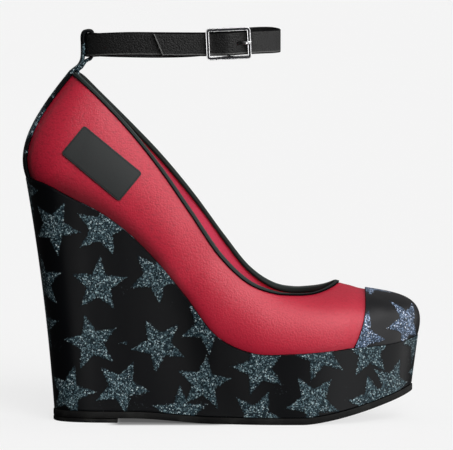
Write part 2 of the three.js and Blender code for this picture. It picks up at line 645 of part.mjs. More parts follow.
// The frame lies in XY here, with its outside towards +Z
function buckleFrame() {
  const shape = roundedRectangle(new THREE.Shape(), BUCKLE_LENGTH, BUCKLE_HEIGHT, 1.8);
  shape.holes.push(roundedRectangle(
    new THREE.Path(), BUCKLE_LENGTH - 2 * BUCKLE_BAR, BUCKLE_HEIGHT - 2 * BUCKLE_BAR, 0.7));
  const frame = new THREE.ExtrudeGeometry(shape, {
    depth: BUCKLE_THICKNESS, bevelEnabled: false, curveSegments: 4,
  }).translate(0, 0, -BUCKLE_THICKNESS / 2);
  const barLength = BUCKLE_HEIGHT - BUCKLE_BAR;
  const bar = new THREE.CylinderGeometry(CENTRE_BAR_RADIUS, CENTRE_BAR_RADIUS, barLength, 12)
    .translate(0, 0, -CENTRE_BAR_INSET);
  let solid = toSolid(frame).add(toSolid(bar));
  for (const side of [-1, 1]) {
    const lug = new THREE.BoxGeometry(2 * CENTRE_BAR_RADIUS, BUCKLE_BAR * 0.7, CENTRE_BAR_INSET + CENTRE_BAR_RADIUS)
      .translate(0, side * (barLength / 2 - BUCKLE_BAR * 0.15), -(CENTRE_BAR_INSET + CENTRE_BAR_RADIUS) / 2);
    solid = solid.add(toSolid(lug));
  }
  return fromSolid(solid);
}

// Prong: a pin with a ring round the centre bar. It comes out through the tail's slot and rests on the
// frame's front bar.
function buckleProng() {
  const half = PRONG_THICKNESS / 2;
  const ring = CENTRE_BAR_RADIUS + GAP + half;
  const rest = BUCKLE_THICKNESS / 2 + GAP + half;
  const path = new THREE.CatmullRomCurve3([
    [-ring * 0.71, -CENTRE_BAR_INSET + ring * 0.71],
    [-ring, -CENTRE_BAR_INSET],
    [-ring * 0.71, -CENTRE_BAR_INSET - ring * 0.71],
    [0, -CENTRE_BAR_INSET - ring],
    [ring * 0.71, -CENTRE_BAR_INSET - ring * 0.71],
    [ring + 0.4, -CENTRE_BAR_INSET],
    [4.6, -CENTRE_BAR_INSET + 0.4],
    [6.8, -1],
    [8.5, 0.9],
    [10.2, rest],
    [BUCKLE_LENGTH / 2 + 0.2, rest - 0.1],
  ].map(([x, z]) => new THREE.Vector3(x, 0, z)));
  return tube(steps(30).map((share) => {
    const middle = path.getPoint(share);
    const along = path.getTangent(share);
    const out = new THREE.Vector3(-along.z, 0, along.x);
    return [[-1, -1], [1, -1], [1, 1], [-1, 1]].map(([side, level]) => middle.clone()
      .setY(side * PRONG_WIDTH / 2)
      .addScaledVector(out, level * half));
  }), false);
}

function onBuckle(geometry) {
  return geometry.rotateZ(BUCKLE_TILT).rotateX(Math.PI / 2)
    .translate(BUCKLE_X, BUCKLE_Y, BUCKLE_Z);
}

// Assembly
const black = { color: 0x141415, roughness: 0.5, metalness: 0 };
const redLeather = { color: 0xb82c42, roughness: 0.48, metalness: 0 };
const starPrint = { color: 0x1b2024, roughness: 0.45, metalness: 0 };
const silver = { color: 0xcfcfd2, roughness: 0.2, metalness: 1 };

const shoe = new THREE.Group();
function piece(name, geometry, finish) {
  const mesh = new THREE.Mesh(geometry, new THREE.MeshStandardMaterial(finish));
  mesh.name = name;
  shoe.add(mesh);
}

piece("outsole", outsole(), { ...black, roughness: 0.7 });
piece("heel_top_piece", heelTopPiece(), { ...black, roughness: 0.7 });
piece("wedge", wedge(), starPrint);
piece("insole", insole(), redLeather);
piece("upper", upper(), redLeather);
piece("toe_cap", toeCap(), starPrint);
piece("topline_binding", toplineBinding(), black);
piece("side_label", sideLabel(), { ...black, color: 0x333536 });
piece("heel_stay", heelStay(), starPrint);
piece("ankle_strap", ankleStrap(), black);
piece("buckle_frame", onBuckle(buckleFrame()), silver);
piece("buckle_prong", onBuckle(buckleProng()), silver);

export default shoe;
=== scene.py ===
import json
import math

import bmesh
import bpy
import numpy as np
from mathutils import Matrix, Vector

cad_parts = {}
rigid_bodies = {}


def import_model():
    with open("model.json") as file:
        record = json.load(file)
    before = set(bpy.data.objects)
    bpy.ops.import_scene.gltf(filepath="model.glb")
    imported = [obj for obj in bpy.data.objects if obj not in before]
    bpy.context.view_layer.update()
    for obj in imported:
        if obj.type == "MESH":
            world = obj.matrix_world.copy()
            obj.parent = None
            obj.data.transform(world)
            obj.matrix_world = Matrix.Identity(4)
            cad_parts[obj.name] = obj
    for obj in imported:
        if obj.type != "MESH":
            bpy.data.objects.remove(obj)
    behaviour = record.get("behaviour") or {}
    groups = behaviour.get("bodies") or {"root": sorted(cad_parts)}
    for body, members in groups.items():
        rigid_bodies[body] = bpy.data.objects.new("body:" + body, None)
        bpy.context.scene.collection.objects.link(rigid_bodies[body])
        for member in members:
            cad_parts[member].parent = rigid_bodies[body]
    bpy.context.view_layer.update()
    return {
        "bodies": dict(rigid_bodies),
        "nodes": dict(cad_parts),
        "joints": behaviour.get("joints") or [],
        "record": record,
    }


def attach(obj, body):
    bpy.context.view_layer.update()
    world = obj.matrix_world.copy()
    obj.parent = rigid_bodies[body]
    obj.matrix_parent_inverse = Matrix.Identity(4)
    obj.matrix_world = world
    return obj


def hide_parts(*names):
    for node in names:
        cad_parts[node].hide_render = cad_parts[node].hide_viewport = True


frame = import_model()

# Outsole: a thin sheet of black rubber, cut a little wider than the wedge and stuck under it. It is
# lifted over the heel's top piece, flat under the ball and sprung up at the toe. Sizes here are in
# millimetres. An outline is a table with a row for every section, heel end to toe end.
SEAT_LENGTH = 218.4
HEEL_REACH = 33
BALL_WIDTH = 77
GAP = 0.3
OUTSOLE_THICKNESS = 3.7
OUTSOLE_MARGIN = 0.4
TOE_SPRING = 16
SPRING_START = 122
SPRING_CURVE = 1.45
HEEL_LIFT = 2.5
ARCH_START = 25
ARCH_END = 72
MERGE_WITHIN = 3e-6  # metres
SHARP_FROM = 40  # degrees between two faces
FOOT_OUTLINE = (  # along as a share of SEAT_LENGTH, outer and inner side as shares of BALL_WIDTH
    (0.069, 0, 0),
    (0.08, 0.149, 0.149),
    (0.108, 0.234, 0.234),
    (0.16, 0.29, 0.286),
    (0.22, 0.309, 0.292),
    (0.284, 0.316, 0.283),
    (0.348, 0.325, 0.277),
    (0.417, 0.351, 0.292),
    (0.497, 0.409, 0.344),
    (0.586, 0.468, 0.416),
    (0.68, 0.484, 0.471),
    (0.767, 0.46, 0.486),
    (0.84, 0.395, 0.46),
    (0.906, 0.291, 0.387),
    (0.955, 0.164, 0.283),
    (0.987, -0.084, 0.084),
)


def spline(knots, share):
    """A smooth line from the second to the third of four knots."""
    near, at, after, far = knots
    back, here, ahead = (
        np.linalg.norm(b - a, axis=-1, keepdims=True) ** 0.5 for a, b in zip(knots, knots[1:])
    )
    here = np.where(here < 1e-4, 1, here)
    back = np.where(back < 1e-4, here, back)
    ahead = np.where(ahead < 1e-4, here, ahead)
    leave = ((at - near) / back - (after - near) / (back + here)) * here + after - at
    reach = ((far - after) / ahead - (far - at) / (here + ahead)) * here + after - at
    bend = 3 * (after - at) - 2 * leave - reach
    return at + leave * share + bend * share**2 + (2 * (at - after) + leave + reach) * share**3


def closed_line(rows):
    """The closed line through the rows, for t from 0 to 1."""
    rows = np.array(rows, float)

    def line(t):
        place = np.mod(t, 1) * len(rows)
        first = np.floor(place).astype(int)
        knots = [rows[(first + k) % len(rows)] for k in (-1, 0, 1, 2)]
        return spline(knots, (place - first)[..., None])

    return line


def ring(rows, point):
    """Both sides of a table as one closed line: heel end, outer side, toe end, inner side."""
    outer = [point(-1, *row) for row in rows]
    inner = [point(1, *row) for row in rows[-2:0:-1]]
    return closed_line(outer + inner)


def along(share):
    return share * SEAT_LENGTH - HEEL_REACH


def outward(line, t):
    """The way out of the shoe, level with the floor."""
    step = line(t + 0.002) - line(t - 0.002)
    out = np.stack([step[..., 1], -step[..., 0], 0 * step[..., 0]], -1)
    return out / np.linalg.norm(out, axis=-1, keepdims=True)


def smooth(u):
    u = np.clip(u, 0, 1)
    return u * u * (3 - 2 * u)


def with_height(points, height):
    return np.concatenate([points[..., :2], height[..., None]], -1)


foot = ring(FOOT_OUTLINE, lambda side, x, outer, inner: (
    along(x), side * BALL_WIDTH * (outer if side < 0 else inner), 0))


def foot_point(t, margin, height):
    """A point on the outline under the wedge, at a height above the sole's underside."""
    on_line = foot(t)
    x = on_line[..., 0]
    arch = HEEL_LIFT * smooth((ARCH_END - x) / (ARCH_END - ARCH_START))
    toe = along(FOOT_OUTLINE[-1][0])
    spring = TOE_SPRING * np.maximum(0, (x - SPRING_START) / (toe - SPRING_START)) ** SPRING_CURVE
    return with_height(on_line + outward(foot, t) * margin, arch + spring + height)


def formed(table, closed=True):
    """A grid with its corners put on a table of points, rows by columns, and its doubles merged."""
    rows, columns = table.shape[0] - 1, table.shape[1] - 1
    mesh = bmesh.new()
    mesh.loops.layers.uv.new("Grid")
    bmesh.ops.create_grid(mesh, x_segments=columns, y_segments=rows, size=0.5, calc_uvs=True)
    for vert in mesh.verts:
        row, column = round((vert.co.y + 0.5) * rows), round((vert.co.x + 0.5) * columns)
        vert.co = Vector(table[row, column]) / 1000
    bmesh.ops.remove_doubles(mesh, verts=mesh.verts, dist=MERGE_WITHIN)
    if closed:
        bmesh.ops.recalc_face_normals(mesh, faces=mesh.faces)
    return mesh


def plate(walls, turns=320):
    """A closed plate from rings of points round the shoe, lowest first. Its two faces close on the
    line halfway between its outer and its inner side."""
    t = np.linspace(0, 1, turns + 1)
    rings = [wall(t) for wall in walls]
    spine = [(edge + edge[::-1]) / 2 for edge in (rings[0], rings[-1])]
    return formed(np.stack([spine[0], *rings, spine[1]]))


def eased(mesh, radius, degrees=35, segments=2):
    """Rounds the edges that are sharper than an angle, as cutting and wear do."""
    least = math.radians(degrees)
    sharp = [e for e in mesh.edges if len(e.link_faces) == 2 and e.calc_face_angle() > least]
    bmesh.ops.bevel(mesh, geom=sharp, offset=radius / 1000, segments=segments,
                    profile=0.5, affect="EDGES", material=-1)
    return mesh


def placed(mesh, name, finishes, slot, *nodes):
    """Makes the mesh a piece that stands for its nodes in the frame."""
    data = bpy.data.meshes.new(name)
    mesh.to_mesh(data)
    mesh.free()
    data.shade_smooth()
    data.set_sharp_from_angle(angle=math.radians(SHARP_FROM))
    for finish in finishes:
        data.materials.append(finish)
    piece = bpy.data.objects.new(name, data)
    bpy.context.collection.objects.link(piece)
    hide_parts(*nodes)
    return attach(piece, "root")


def tint(red, green, blue):
    """A colour as seen on a screen, from 0 to 255, as light."""
    shares = (np.array([red, green, blue]) / 255 + 0.055) / 1.055
    return (*(float(share) ** 2.4 for share in shares), 1)


def shaded(colour, share):
    """A colour made darker by a share below 1, or lighter by one above it."""
    return (*(share * c for c in colour[:3]), 1)


class Wire:
    """A socket in a finish's nodes. Reckoning with it adds Math nodes."""

    def __init__(self, tree, socket):
        self.tree = tree
        self.socket = socket

    def node(self, kind, settings=None, inputs=None, out=0):
        made = self.tree.nodes.new("ShaderNode" + kind)
        for name, value in (settings or {}).items():
            if name == "stops":
                stops = made.color_ramp.elements
                while len(stops) < len(value):
                    stops.new(1)
                for stop, (place, colour) in zip(stops, value):
                    stop.position = place
                    stop.color = colour
            else:
                setattr(made, name, value)
        for name, value in (inputs or {}).items():
            if isinstance(value, Wire):
                self.tree.links.new(value.socket, made.inputs[name])
            else:
                made.inputs[name].default_value = value
        return Wire(self.tree, made.outputs[out])

    def math(self, operation, *others):
        return self.node("Math", {"operation": operation}, dict(enumerate([self, *others])))

    def __add__(self, other):
        return self.math("ADD", other)

    __radd__ = __add__

    def __mul__(self, other):
        return self.math("MULTIPLY", other)

    def __sub__(self, other):
        return self.math("SUBTRACT", other)

    def __rsub__(self, other):
        return self.node("Math", {"operation": "SUBTRACT"}, {0: other, 1: self})

    def __pow__(self, other):
        return self.math("POWER", other)

    def parts(self):
        """The three parts of a vector or a colour."""
        return [self.node("SeparateXYZ", None, {0: self}, k) for k in range(3)]

    def between(self, low, high):
        """0 below low, 1 above high and smooth from one to the other."""
        ends = {0: self, 1: low, 2: high}
        return self.node("MapRange", {"interpolation_type": "SMOOTHSTEP"}, ends)

    def mix(self, first, second):
        """From the first colour to the second, by this wire."""
        return self.node("Mix", {"data_type": "RGBA"}, {0: self, 6: first, 7: second}, 2)

    def noise(self, scale, detail=2):
        return self.node("TexNoise", None, {"Vector": self, "Scale": scale, "Detail": detail})

    def cells(self, scale, feature="F1", out="Distance"):
        return self.node("TexVoronoi", {"feature": feature}, {"Vector": self, "Scale": scale}, out)


def new_finish(name):
    """A material, its shader and a wire with the place on the shoe, in metres."""
    finish = bpy.data.materials.new(name)
    finish.use_nodes = True
    tree = finish.node_tree
    place = Wire(tree, None).node("TexCoord", None, None, "Object")
    return finish, tree.nodes["Principled BSDF"], place


def dress(shader, place, colour, roughness, height, depth, **fixed):
    """Links what varies over the surface and sets the rest. depth is the relief's, in metres."""
    relief = place.node("Bump", None, {"Height": height, "Distance": depth, "Strength": 1})
    for name, wire in (("Base Color", colour), ("Roughness", roughness), ("Normal", relief)):
        place.tree.links.new(wire.socket, shader.inputs[name])
    for name, value in fixed.items():
        shader.inputs[name.replace("_", " ")].default_value = value


def rubber(name, worn):
    """Moulded rubber, matt, with fine pores and a little grey rubbed into its raised spots."""
    finish, shader, place = new_finish(name)
    cloud = place.noise(90, 4)
    pores = place.noise(2600, 3)
    rub = (cloud + pores * 0.4).between(0.62, 0.95)
    colour = rub.mix(tint(12, 12, 12), worn)
    roughness = 0.62 + cloud * 0.2
    dress(shader, place, colour, roughness, pores + cloud, 0.00012, Specular_IOR_Level=0.16)
    return finish


black_rubber = rubber("black_rubber", tint(34, 34, 33))
outsole = plate([
    lambda t: foot_point(t, OUTSOLE_MARGIN, np.zeros_like(t)),
    lambda t: foot_point(t, OUTSOLE_MARGIN, np.full_like(t, OUTSOLE_THICKNESS)),
])
placed(eased(outsole, 0.5), "rubber_outsole", [black_rubber], "rubber", "outsole")

# Heel top piece: the flat block of harder rubber that takes the wear under the heel end. It has the
# outsole's outline there and a straight front, which leaves a step in front of it.
LIFT_FRONT = 18


def capped(mesh):
    """Closes the open ends and turns every face outward."""
    open_edges = [e for e in mesh.edges if e.is_boundary]
    bmesh.ops.holes_fill(mesh, edges=open_edges, sides=0)
    bmesh.ops.recalc_face_normals(mesh, faces=mesh.faces)
    return mesh


turns = np.linspace(-0.5, 0.5, 4001)
heel_turns = turns[foot(turns)[:, 0] < LIFT_FRONT]
lift_turns = np.linspace(heel_turns[0], heel_turns[-1], 121)
lift_ring = foot_point(lift_turns, OUTSOLE_MARGIN, 0 * lift_turns)
lift_walls = [with_height(lift_ring, np.full_like(lift_turns, z)) for z in (0, HEEL_LIFT - GAP)]
lift_spine = [(wall + wall[::-1]) / 2 for wall in lift_walls]
lift_table = np.stack([lift_spine[0], *lift_walls, lift_spine[1]])
heel_top_piece = capped(formed(lift_table, closed=False))
hard_rubber = rubber("hard_rubber", tint(42, 42, 40))
placed(eased(heel_top_piece, 0.4), "heel_lift", [hard_rubber], "rubber", "heel_top_piece")

# Wedge: heel and platform in one light block, wrapped in black cloth with large glitter stars
# before the upper is lasted on. The wrap runs without a seam round the heel and the toe.
HEEL_HEIGHT = 136
PLATFORM_HEIGHT = 39.8
TOE_RISE = 7.6
WEDGE_MARGIN = 0.8
WEDGE_WAIST = 1.7
WAIST_END = 100
WEDGE_ROWS = 84
SEAT_OUTLINE = (  # along, outer, inner, share of the drop to the ball, share of TOE_RISE
    (0, 0, 0, 1, 0),
    (0.016, 0.169, 0.169, 0.998, 0),
    (0.05, 0.273, 0.273, 0.976, 0),
    (0.114, 0.331, 0.325, 0.902, 0),
    (0.188, 0.351, 0.331, 0.817, 0),
    (0.261, 0.357, 0.325, 0.697, 0),
    (0.334, 0.37, 0.318, 0.532, 0),
    (0.408, 0.396, 0.325, 0.329, 0),
    (0.49, 0.442, 0.37, 0.096, 0),
    (0.582, 0.487, 0.435, 0.004, 0),
    (0.678, 0.5, 0.487, 0, 0),
    (0.769, 0.474, 0.5, 0, 0.17),
    (0.847, 0.409, 0.474, 0, 0.41),
    (0.916, 0.305, 0.403, 0, 0.54),
    (0.966, 0.175, 0.299, 0, 0.76),
    (1, -0.091, 0.091, 0, 1),
)
seat = ring(SEAT_OUTLINE, lambda side, x, outer, inner, drop, rise: (
    along(x),
    side * BALL_WIDTH * (outer if side < 0 else inner),
    PLATFORM_HEIGHT + drop * (HEEL_HEIGHT - PLATFORM_HEIGHT) + rise * TOE_RISE))


def wedge_wall(share):
    """The ring round the wedge at a share of the way from its underside to the seam."""
    def wall(t):
        base = foot_point(t, 0, np.full_like(t, OUTSOLE_THICKNESS + GAP))
        top = seat(t) + outward(seat, t) * WEDGE_MARGIN - (0, 0, GAP)
        waist = smooth((WAIST_END - base[..., 0]) / WAIST_END)
        waist = WEDGE_WAIST * waist * 4 * share * (1 - share)
        return base + (top - base) * share - outward(foot, t) * waist[..., None]

    return wall


# A star's reach to its points, and that of the notches between them as a share of it. The edge
# from a point to a notch has its slope in EDGE_X and EDGE_Y, and FIFTH is half a point's turn.
STAR_RADIUS = 15.7
STAR_NOTCH = 0.44
STAR_SLACK = 4  # square millimetres round a star's place in which its middle may lie
STRETCH_LIMIT = 1.5
VIEW_RISE = 0.08
OFF_STARS = (3, 0)
FAR = 1e6
FIFTH = math.pi / 5
notch_x, notch_y = STAR_NOTCH * math.cos(FIFTH), STAR_NOTCH * math.sin(FIFTH)
edge_length = math.hypot(1 - notch_x, notch_y)
EDGE_X, EDGE_Y = notch_y / edge_length, (1 - notch_x) / edge_length


def star_chart(mesh, stars):
    """Gives every face its place in the nearest star, in star radii. A star is (azimuth it is
    seen from, place to the right, height, turn of one point). Azimuth 0 is the outer side and 90
    the toe. The star's middle is the face near that place that is closest to the viewer."""
    grid = mesh.loops.layers.uv.new("Star")
    mesh.normal_update()
    mesh.faces.ensure_lookup_table()
    middles = np.array([f.calc_center_median() for f in mesh.faces]) * 1000
    normals = np.array([f.normal for f in mesh.faces])
    frames = []
    for azimuth, across, height, turn in stars:
        a = math.radians(azimuth)
        to_viewer = np.array([math.sin(a), -math.cos(a), VIEW_RISE])
        right = np.array([math.cos(a), math.sin(a), 0])
        off = (middles @ right - across) ** 2 + (middles[:, 2] - height) ** 2
        off = off + FAR * (normals @ to_viewer < 0.05)
        near = off < off.min() + STAR_SLACK
        centre = int(np.argmin(np.where(near, -middles @ to_viewer, FAR)))
        out = normals[centre]
        right = right - out * (right @ out)
        right /= np.linalg.norm(right)
        frames.append((middles[centre], out, right, np.cross(out, right), math.radians(turn)))

    def local(points, frame):
        """Places in a star's own frame, kept at their distance along the bent surface."""
        centre, _, right, up, turn = frame
        away = points - centre
        x, y = away @ right, away @ up
        spread = np.linalg.norm(away, axis=-1) / np.maximum(np.hypot(x, y), 1e-6) / STAR_RADIUS
        spun = np.arctan2(y, x) - turn
        reach = np.hypot(x, y) * np.minimum(spread, STRETCH_LIMIT / STAR_RADIUS)
        return np.stack([reach * np.cos(spun), reach * np.sin(spun)], -1)

    def edge(flat):
        """How far outside the star's edge a place lies."""
        angle = np.abs(np.mod(np.arctan2(flat[..., 1], flat[..., 0]) + FIFTH, 2 * FIFTH) - FIFTH)
        reach = np.hypot(flat[..., 0], flat[..., 1])
        return (reach * np.cos(angle) - 1) * EDGE_X + reach * np.sin(angle) * EDGE_Y

    # A face that looks away from a star's middle is never in that star
    depths = np.stack([edge(local(middles, f)) + FAR * (normals @ f[1] < -0.3) for f in frames])
    nearest = np.argmin(depths, 0)
    for face, which, depth in zip(mesh.faces, nearest, depths.min(0)):
        for loop in face.loops:
            if depth > 1:
                loop[grid].uv = OFF_STARS
            else:
                loop[grid].uv = local(np.array(loop.vert.co) * 1000, frames[which])


def star_print(name, dark, glitter, shine):
    """Smooth black cloth with stars of glitter glued on, in grains of about half a millimetre and
    ragged at their edges. glitter is the grains' colours, darkest first."""
    finish, shader, place = new_finish(name)
    x, y, _ = place.node("UVMap", {"uv_map": "Star"}).parts()
    reach = (x * x + y * y) ** 0.5
    angle = y.math("ARCTAN2", x).math("PINGPONG", FIFTH)
    edge = (reach * angle.math("COSINE") - 1) * EDGE_X + reach * angle.math("SINE") * EDGE_Y
    chance, other, _ = place.cells(1650, out="Color").parts()
    mask = (edge + chance * 0.06).between(0.04, 0.022)
    grains = chance.node("ValToRGB", {"stops": glitter}, {0: other})
    stray = (place.noise(45, 5) * 0.5 + other * 0.5).between(0.78, 0.84) * 0.05
    cloud = place.noise(28, 3)
    cloth = cloud.mix(dark, shaded(dark, 1.7))
    colour = (mask + (1 - mask) * stray).mix(cloth, grains)
    weave = place.noise(2400, 2)
    roughness = 0.34 + cloud * 0.1 + mask * 0.05
    relief = mask * (0.6 + other * 0.9) + weave * 0.12
    dress(shader, place, colour, roughness, relief, 0.0002, Specular_IOR_Level=shine)
    return finish


CLOTH_BLACK = tint(6, 7, 9)
GLITTER = (
    (0, tint(8, 15, 20)),
    (0.35, tint(24, 38, 45)),
    (0.6, tint(48, 66, 74)),
    (0.82, tint(88, 110, 117)),
    (0.94, tint(140, 164, 170)),
    (1, tint(205, 222, 226)),
)
WEDGE_STARS = (
    (0, -19.2, 108.2, 65), (0, 7.8, 108.3, 77.5), (0, 5.6, 76.8, 87), (0, 38.6, 81.3, 62),
    (0, -25, 77, 38), (0, 2.3, 43.5, 31), (0, 39.6, 43.3, 47), (0, 71.7, 58.3, 60),
    (0, -11.2, 15.6, 4), (0, 19.4, 18.7, 64), (0, 51, -2.8, 92), (0, 64.5, 21.8, 84),
    (0, 95.8, 30.5, 35), (0, 93.9, 1.3, 66), (0, 130.9, 47.2, 36), (0, 128.1, 11.5, 50),
    (0, 159.6, 39.5, 20), (0, 172.2, 18.9, 66), (0, 163.8, 8.9, 31),
    (270, 4, 127, 0), (270, -8, 97, 50), (270, 4, 52, 8), (270, -9, 20, 40), (90, -3, 46, 52),
    (90, 12, 26, 40), (90, 32, 44, 62), (180, 18, 118, 20), (180, 10, 78, 50),
    (180, 12, 44, 12), (180, 4, 12, 65), (180, -18, 98, 33), (180, -24, 62, 80),
    (180, -28, 28, 26), (180, -56, 72, 20), (180, -60, 40, 48), (180, -60, 7, 8),
    (180, -90, 27, 70), (180, -104, 0, 30), (180, -120, 36, 15), (180, -136, 10, 55),
    (180, -152, 38, 35), (180, -166, 14, 5),
)
wedge = plate([wedge_wall(row / WEDGE_ROWS) for row in range(WEDGE_ROWS + 1)], 330)
star_chart(wedge, WEDGE_STARS)
star_cloth = star_print("star_cloth", CLOTH_BLACK, GLITTER, 0.12)
placed(eased(wedge, 0.35, 50), "wrapped_wedge", [star_cloth], "star_print", "wedge")

# Insole: a board padded with thin foam and covered in the lining's red leather, laid on the wedge
# inside the upper, from the heel seat to the toe.
UPPER_WALL = 1.8
INSOLE_THICKNESS = 3.2
INSOLE_INSET = UPPER_WALL + 4 * GAP


def insole_ring(height):
    return lambda t: seat(t) - outward(seat, t) * INSOLE_INSET + (0, 0, height)


def leather(name, colour, grain, depth, gloss, shine, marks_and_painted_light=None):
    """Corrected leather: a fine pebbled grain with pores and a soft change of colour over the hide.
    The last argument adds stitches, and the shade and highlights painted into the tone."""
    finish, shader, place = new_finish(name)
    pebbles = place.cells(1000 / grain, "SMOOTH_F1")
    fine = place.cells(2700 / grain)
    hide = place.noise(16, 4)
    tone = hide.mix(shaded(colour, 0.9), colour)
    tone = (pebbles * 0.9).between(0.3, 0.75).mix(tone, shaded(colour, 0.84))
    # stitches, painted shade and painted highlights go on here
    if marks_and_painted_light:
        tone = marks_and_painted_light(place, hide, tone)
    roughness = gloss + hide * 0.12 + pebbles * 0.12
    relief = 1 - pebbles * 0.8 + fine * 0.2 + hide * 0.5
    dress(shader, place, tone, roughness, relief, depth, Specular_IOR_Level=shine)
    return finish


lining = leather("red_lining", tint(226, 76, 106), 0.7, 0.00004, 0.55, 0.3)
insole = plate([insole_ring(0), insole_ring(INSOLE_THICKNESS)])
placed(eased(insole, 0.8, segments=3), "padded_insole", [lining], "red_leather", "insole")

# Upper: vamp and quarters in grained red leather over its lining, lasted into one wall from the
# seam at the wedge up to the topline. It is set in a little where the toe cap and the stay lie.
COUNTER_HEIGHT = 65
CAP_THICKNESS = 0.9
CAP_LENGTH = 29
CAP_LINE = SEAT_LENGTH - HEEL_REACH - CAP_LENGTH
CAP_SWEEP = 6.5
CAP_SWEEP_HEIGHT = 25
CAP_LEAD = 2.5
RECESS_RUN = 7
OVERLAY_STEP = 0.6
UPPER_ROWS = 44
WALL_RISE = 60
STAY_WIDTH = 17
STAY_THICKNESS = 1.4
TOPLINE = (  # along, outer, inner, height over the seam on either side as shares of COUNTER_HEIGHT
    (0.111, 0, 0, 1.052, 1.052),
    (0.124, 0.104, 0.104, 1.063, 1.063),
    (0.144, 0.188, 0.188, 1.044, 1.044),
    (0.183, 0.253, 0.247, 0.991, 0.976),
    (0.261, 0.292, 0.279, 0.901, 0.899),
    (0.343, 0.312, 0.286, 0.836, 0.887),
    (0.426, 0.338, 0.299, 0.783, 0.895),
    (0.504, 0.37, 0.331, 0.706, 0.83),
    (0.572, 0.39, 0.37, 0.594, 0.64),
    (0.632, 0.37, 0.377, 0.527, 0.526),
    (0.682, 0.312, 0.338, 0.491, 0.487),
    (0.728, 0.227, 0.273, 0.48, 0.491),
    (0.758, 0.149, 0.208, 0.495, 0.504),
    (0.777, 0.078, 0.149, 0.517, 0.524),
    (0.788, 0.013, 0.091, 0.534, 0.541),
    (0.792, -0.039, 0.039, 0.544, 0.544),
)
BULGE = (  # how far the wall bulges out and up, low and high in each section
    (0.194, -0.028, 0.124, -0.034),
    (0.175, -0.025, 0.113, -0.031),
    (0.136, -0.015, 0.088, -0.018),
    (0.097, -0.008, 0.071, -0.008),
    (0.084, 0, 0.065, 0),
    (0.071, 0, 0.058, 0),
    (0.065, 0, 0.052, 0),
    (0.065, 0, 0.052, 0),
    (0.078, 0.015, 0.065, 0.023),
    (0.104, 0.046, 0.071, 0.077),
    (0.11, 0.069, 0.065, 0.123),
    (0.13, 0.1, 0.097, 0.115),
    (0.156, 0.135, 0.117, 0.1),
    (0.195, 0.192, 0.11, 0.069),
    (0.243, 0.232, 0.13, 0.046),
    (0.294, 0.268, 0.13, 0.027),
)
outer_half = seat(np.linspace(0, 0.5, 4001))


def seat_height(x):
    return np.interp(x, outer_half[:, 0], outer_half[:, 2])


rim = ring(TOPLINE, lambda side, x, outer, inner, outer_top, inner_top: (
    along(x),
    side * BALL_WIDTH * (outer if side < 0 else inner),
    seat_height(along(x)) + COUNTER_HEIGHT * (outer_top if side < 0 else inner_top)))
bulge_low = ring(BULGE, lambda side, out, up, *high: (out, up, 0))
bulge_high = ring(BULGE, lambda side, low_out, low_up, out, up: (out, up, 0))


def face(t, h):
    """The upper's outer face, from h 0 at the seam to 1 at the topline."""
    start, end, out = seat(t), rim(t), outward(seat, t)

    def control(share, bulge):
        level = start[..., 2] + (end[..., 2] - start[..., 2]) * share
        level = level + bulge[..., 1] * COUNTER_HEIGHT
        return with_height(start + (end - start) * share + out * bulge[..., :1] * BALL_WIDTH, level)

    low, high, h = control(0.33, bulge_low(t)), control(0.67, bulge_high(t)), h[..., None]
    left = 1 - h
    return left**3 * start + 3 * left**2 * h * low + 3 * left * h**2 * high + h**3 * end


def face_normal(t, h):
    step = 0.004
    turned = face(t + step, h) - face(t - step, h)
    risen = face(t, np.minimum(1, h + step)) - face(t, np.maximum(0, h - step))
    normal = np.cross(turned, risen)
    return normal / np.linalg.norm(normal, axis=-1, keepdims=True)


def cap_edge(height):
    return CAP_LINE - CAP_SWEEP * np.maximum(0, 1 - height / CAP_SWEEP_HEIGHT) ** 2


def off_face(t, h, distance):
    """A point at a distance outside the wall, which is set in under the overlays."""
    point = face(t, h)
    x, y, z = np.moveaxis(point, -1, 0)
    past_cap = x + CAP_LEAD - cap_edge(z - seat_height(x))
    cap = (CAP_THICKNESS + GAP - OVERLAY_STEP) * smooth(past_cap / RECESS_RUN + 1)
    in_stay = (STAY_WIDTH / 2 - np.abs(y)) / RECESS_RUN + 1
    stay = (STAY_THICKNESS + GAP - OVERLAY_STEP) * smooth(in_stay) * (x < 0)
    return point + face_normal(t, h) * (distance - np.maximum(cap, stay))[..., None]


def wall_chart(mesh):
    """How far up the wall from the seam every corner lies, in rough millimetres."""
    grid, chart = mesh.loops.layers.uv["Grid"], mesh.loops.layers.uv.new("Wall")
    rises = (0, 0.49, 0.51, 1), (0, WALL_RISE, WALL_RISE, 0)
    for loop in (loop for f in mesh.faces for loop in f.loops):
        loop[chart].uv.y = np.interp(loop[grid].uv.y, *rises)


def grid_places(mesh):
    """Each face with the middle of its place in the grid, from 0 to 1 across and along."""
    grid = mesh.loops.layers.uv["Grid"]
    for f in mesh.faces:
        u, v = (sum(loop[grid].uv[k] for loop in f.loops) / len(f.loops) for k in (0, 1))
        yield f, u, v


h_rows = np.linspace(0, 1, UPPER_ROWS + 1)
t, h = np.meshgrid(np.linspace(0, 1, 361), h_rows)
outer_face, inner_face = off_face(t, h, 0), off_face(t, h, -UPPER_WALL)[::-1]
upper = formed(np.concatenate([outer_face, inner_face, outer_face[:1]]))
wall_chart(upper)
for f, _, v in grid_places(upper):
    f.material_index = int(v > 0.503)  # past the topline's fold the wall is lining


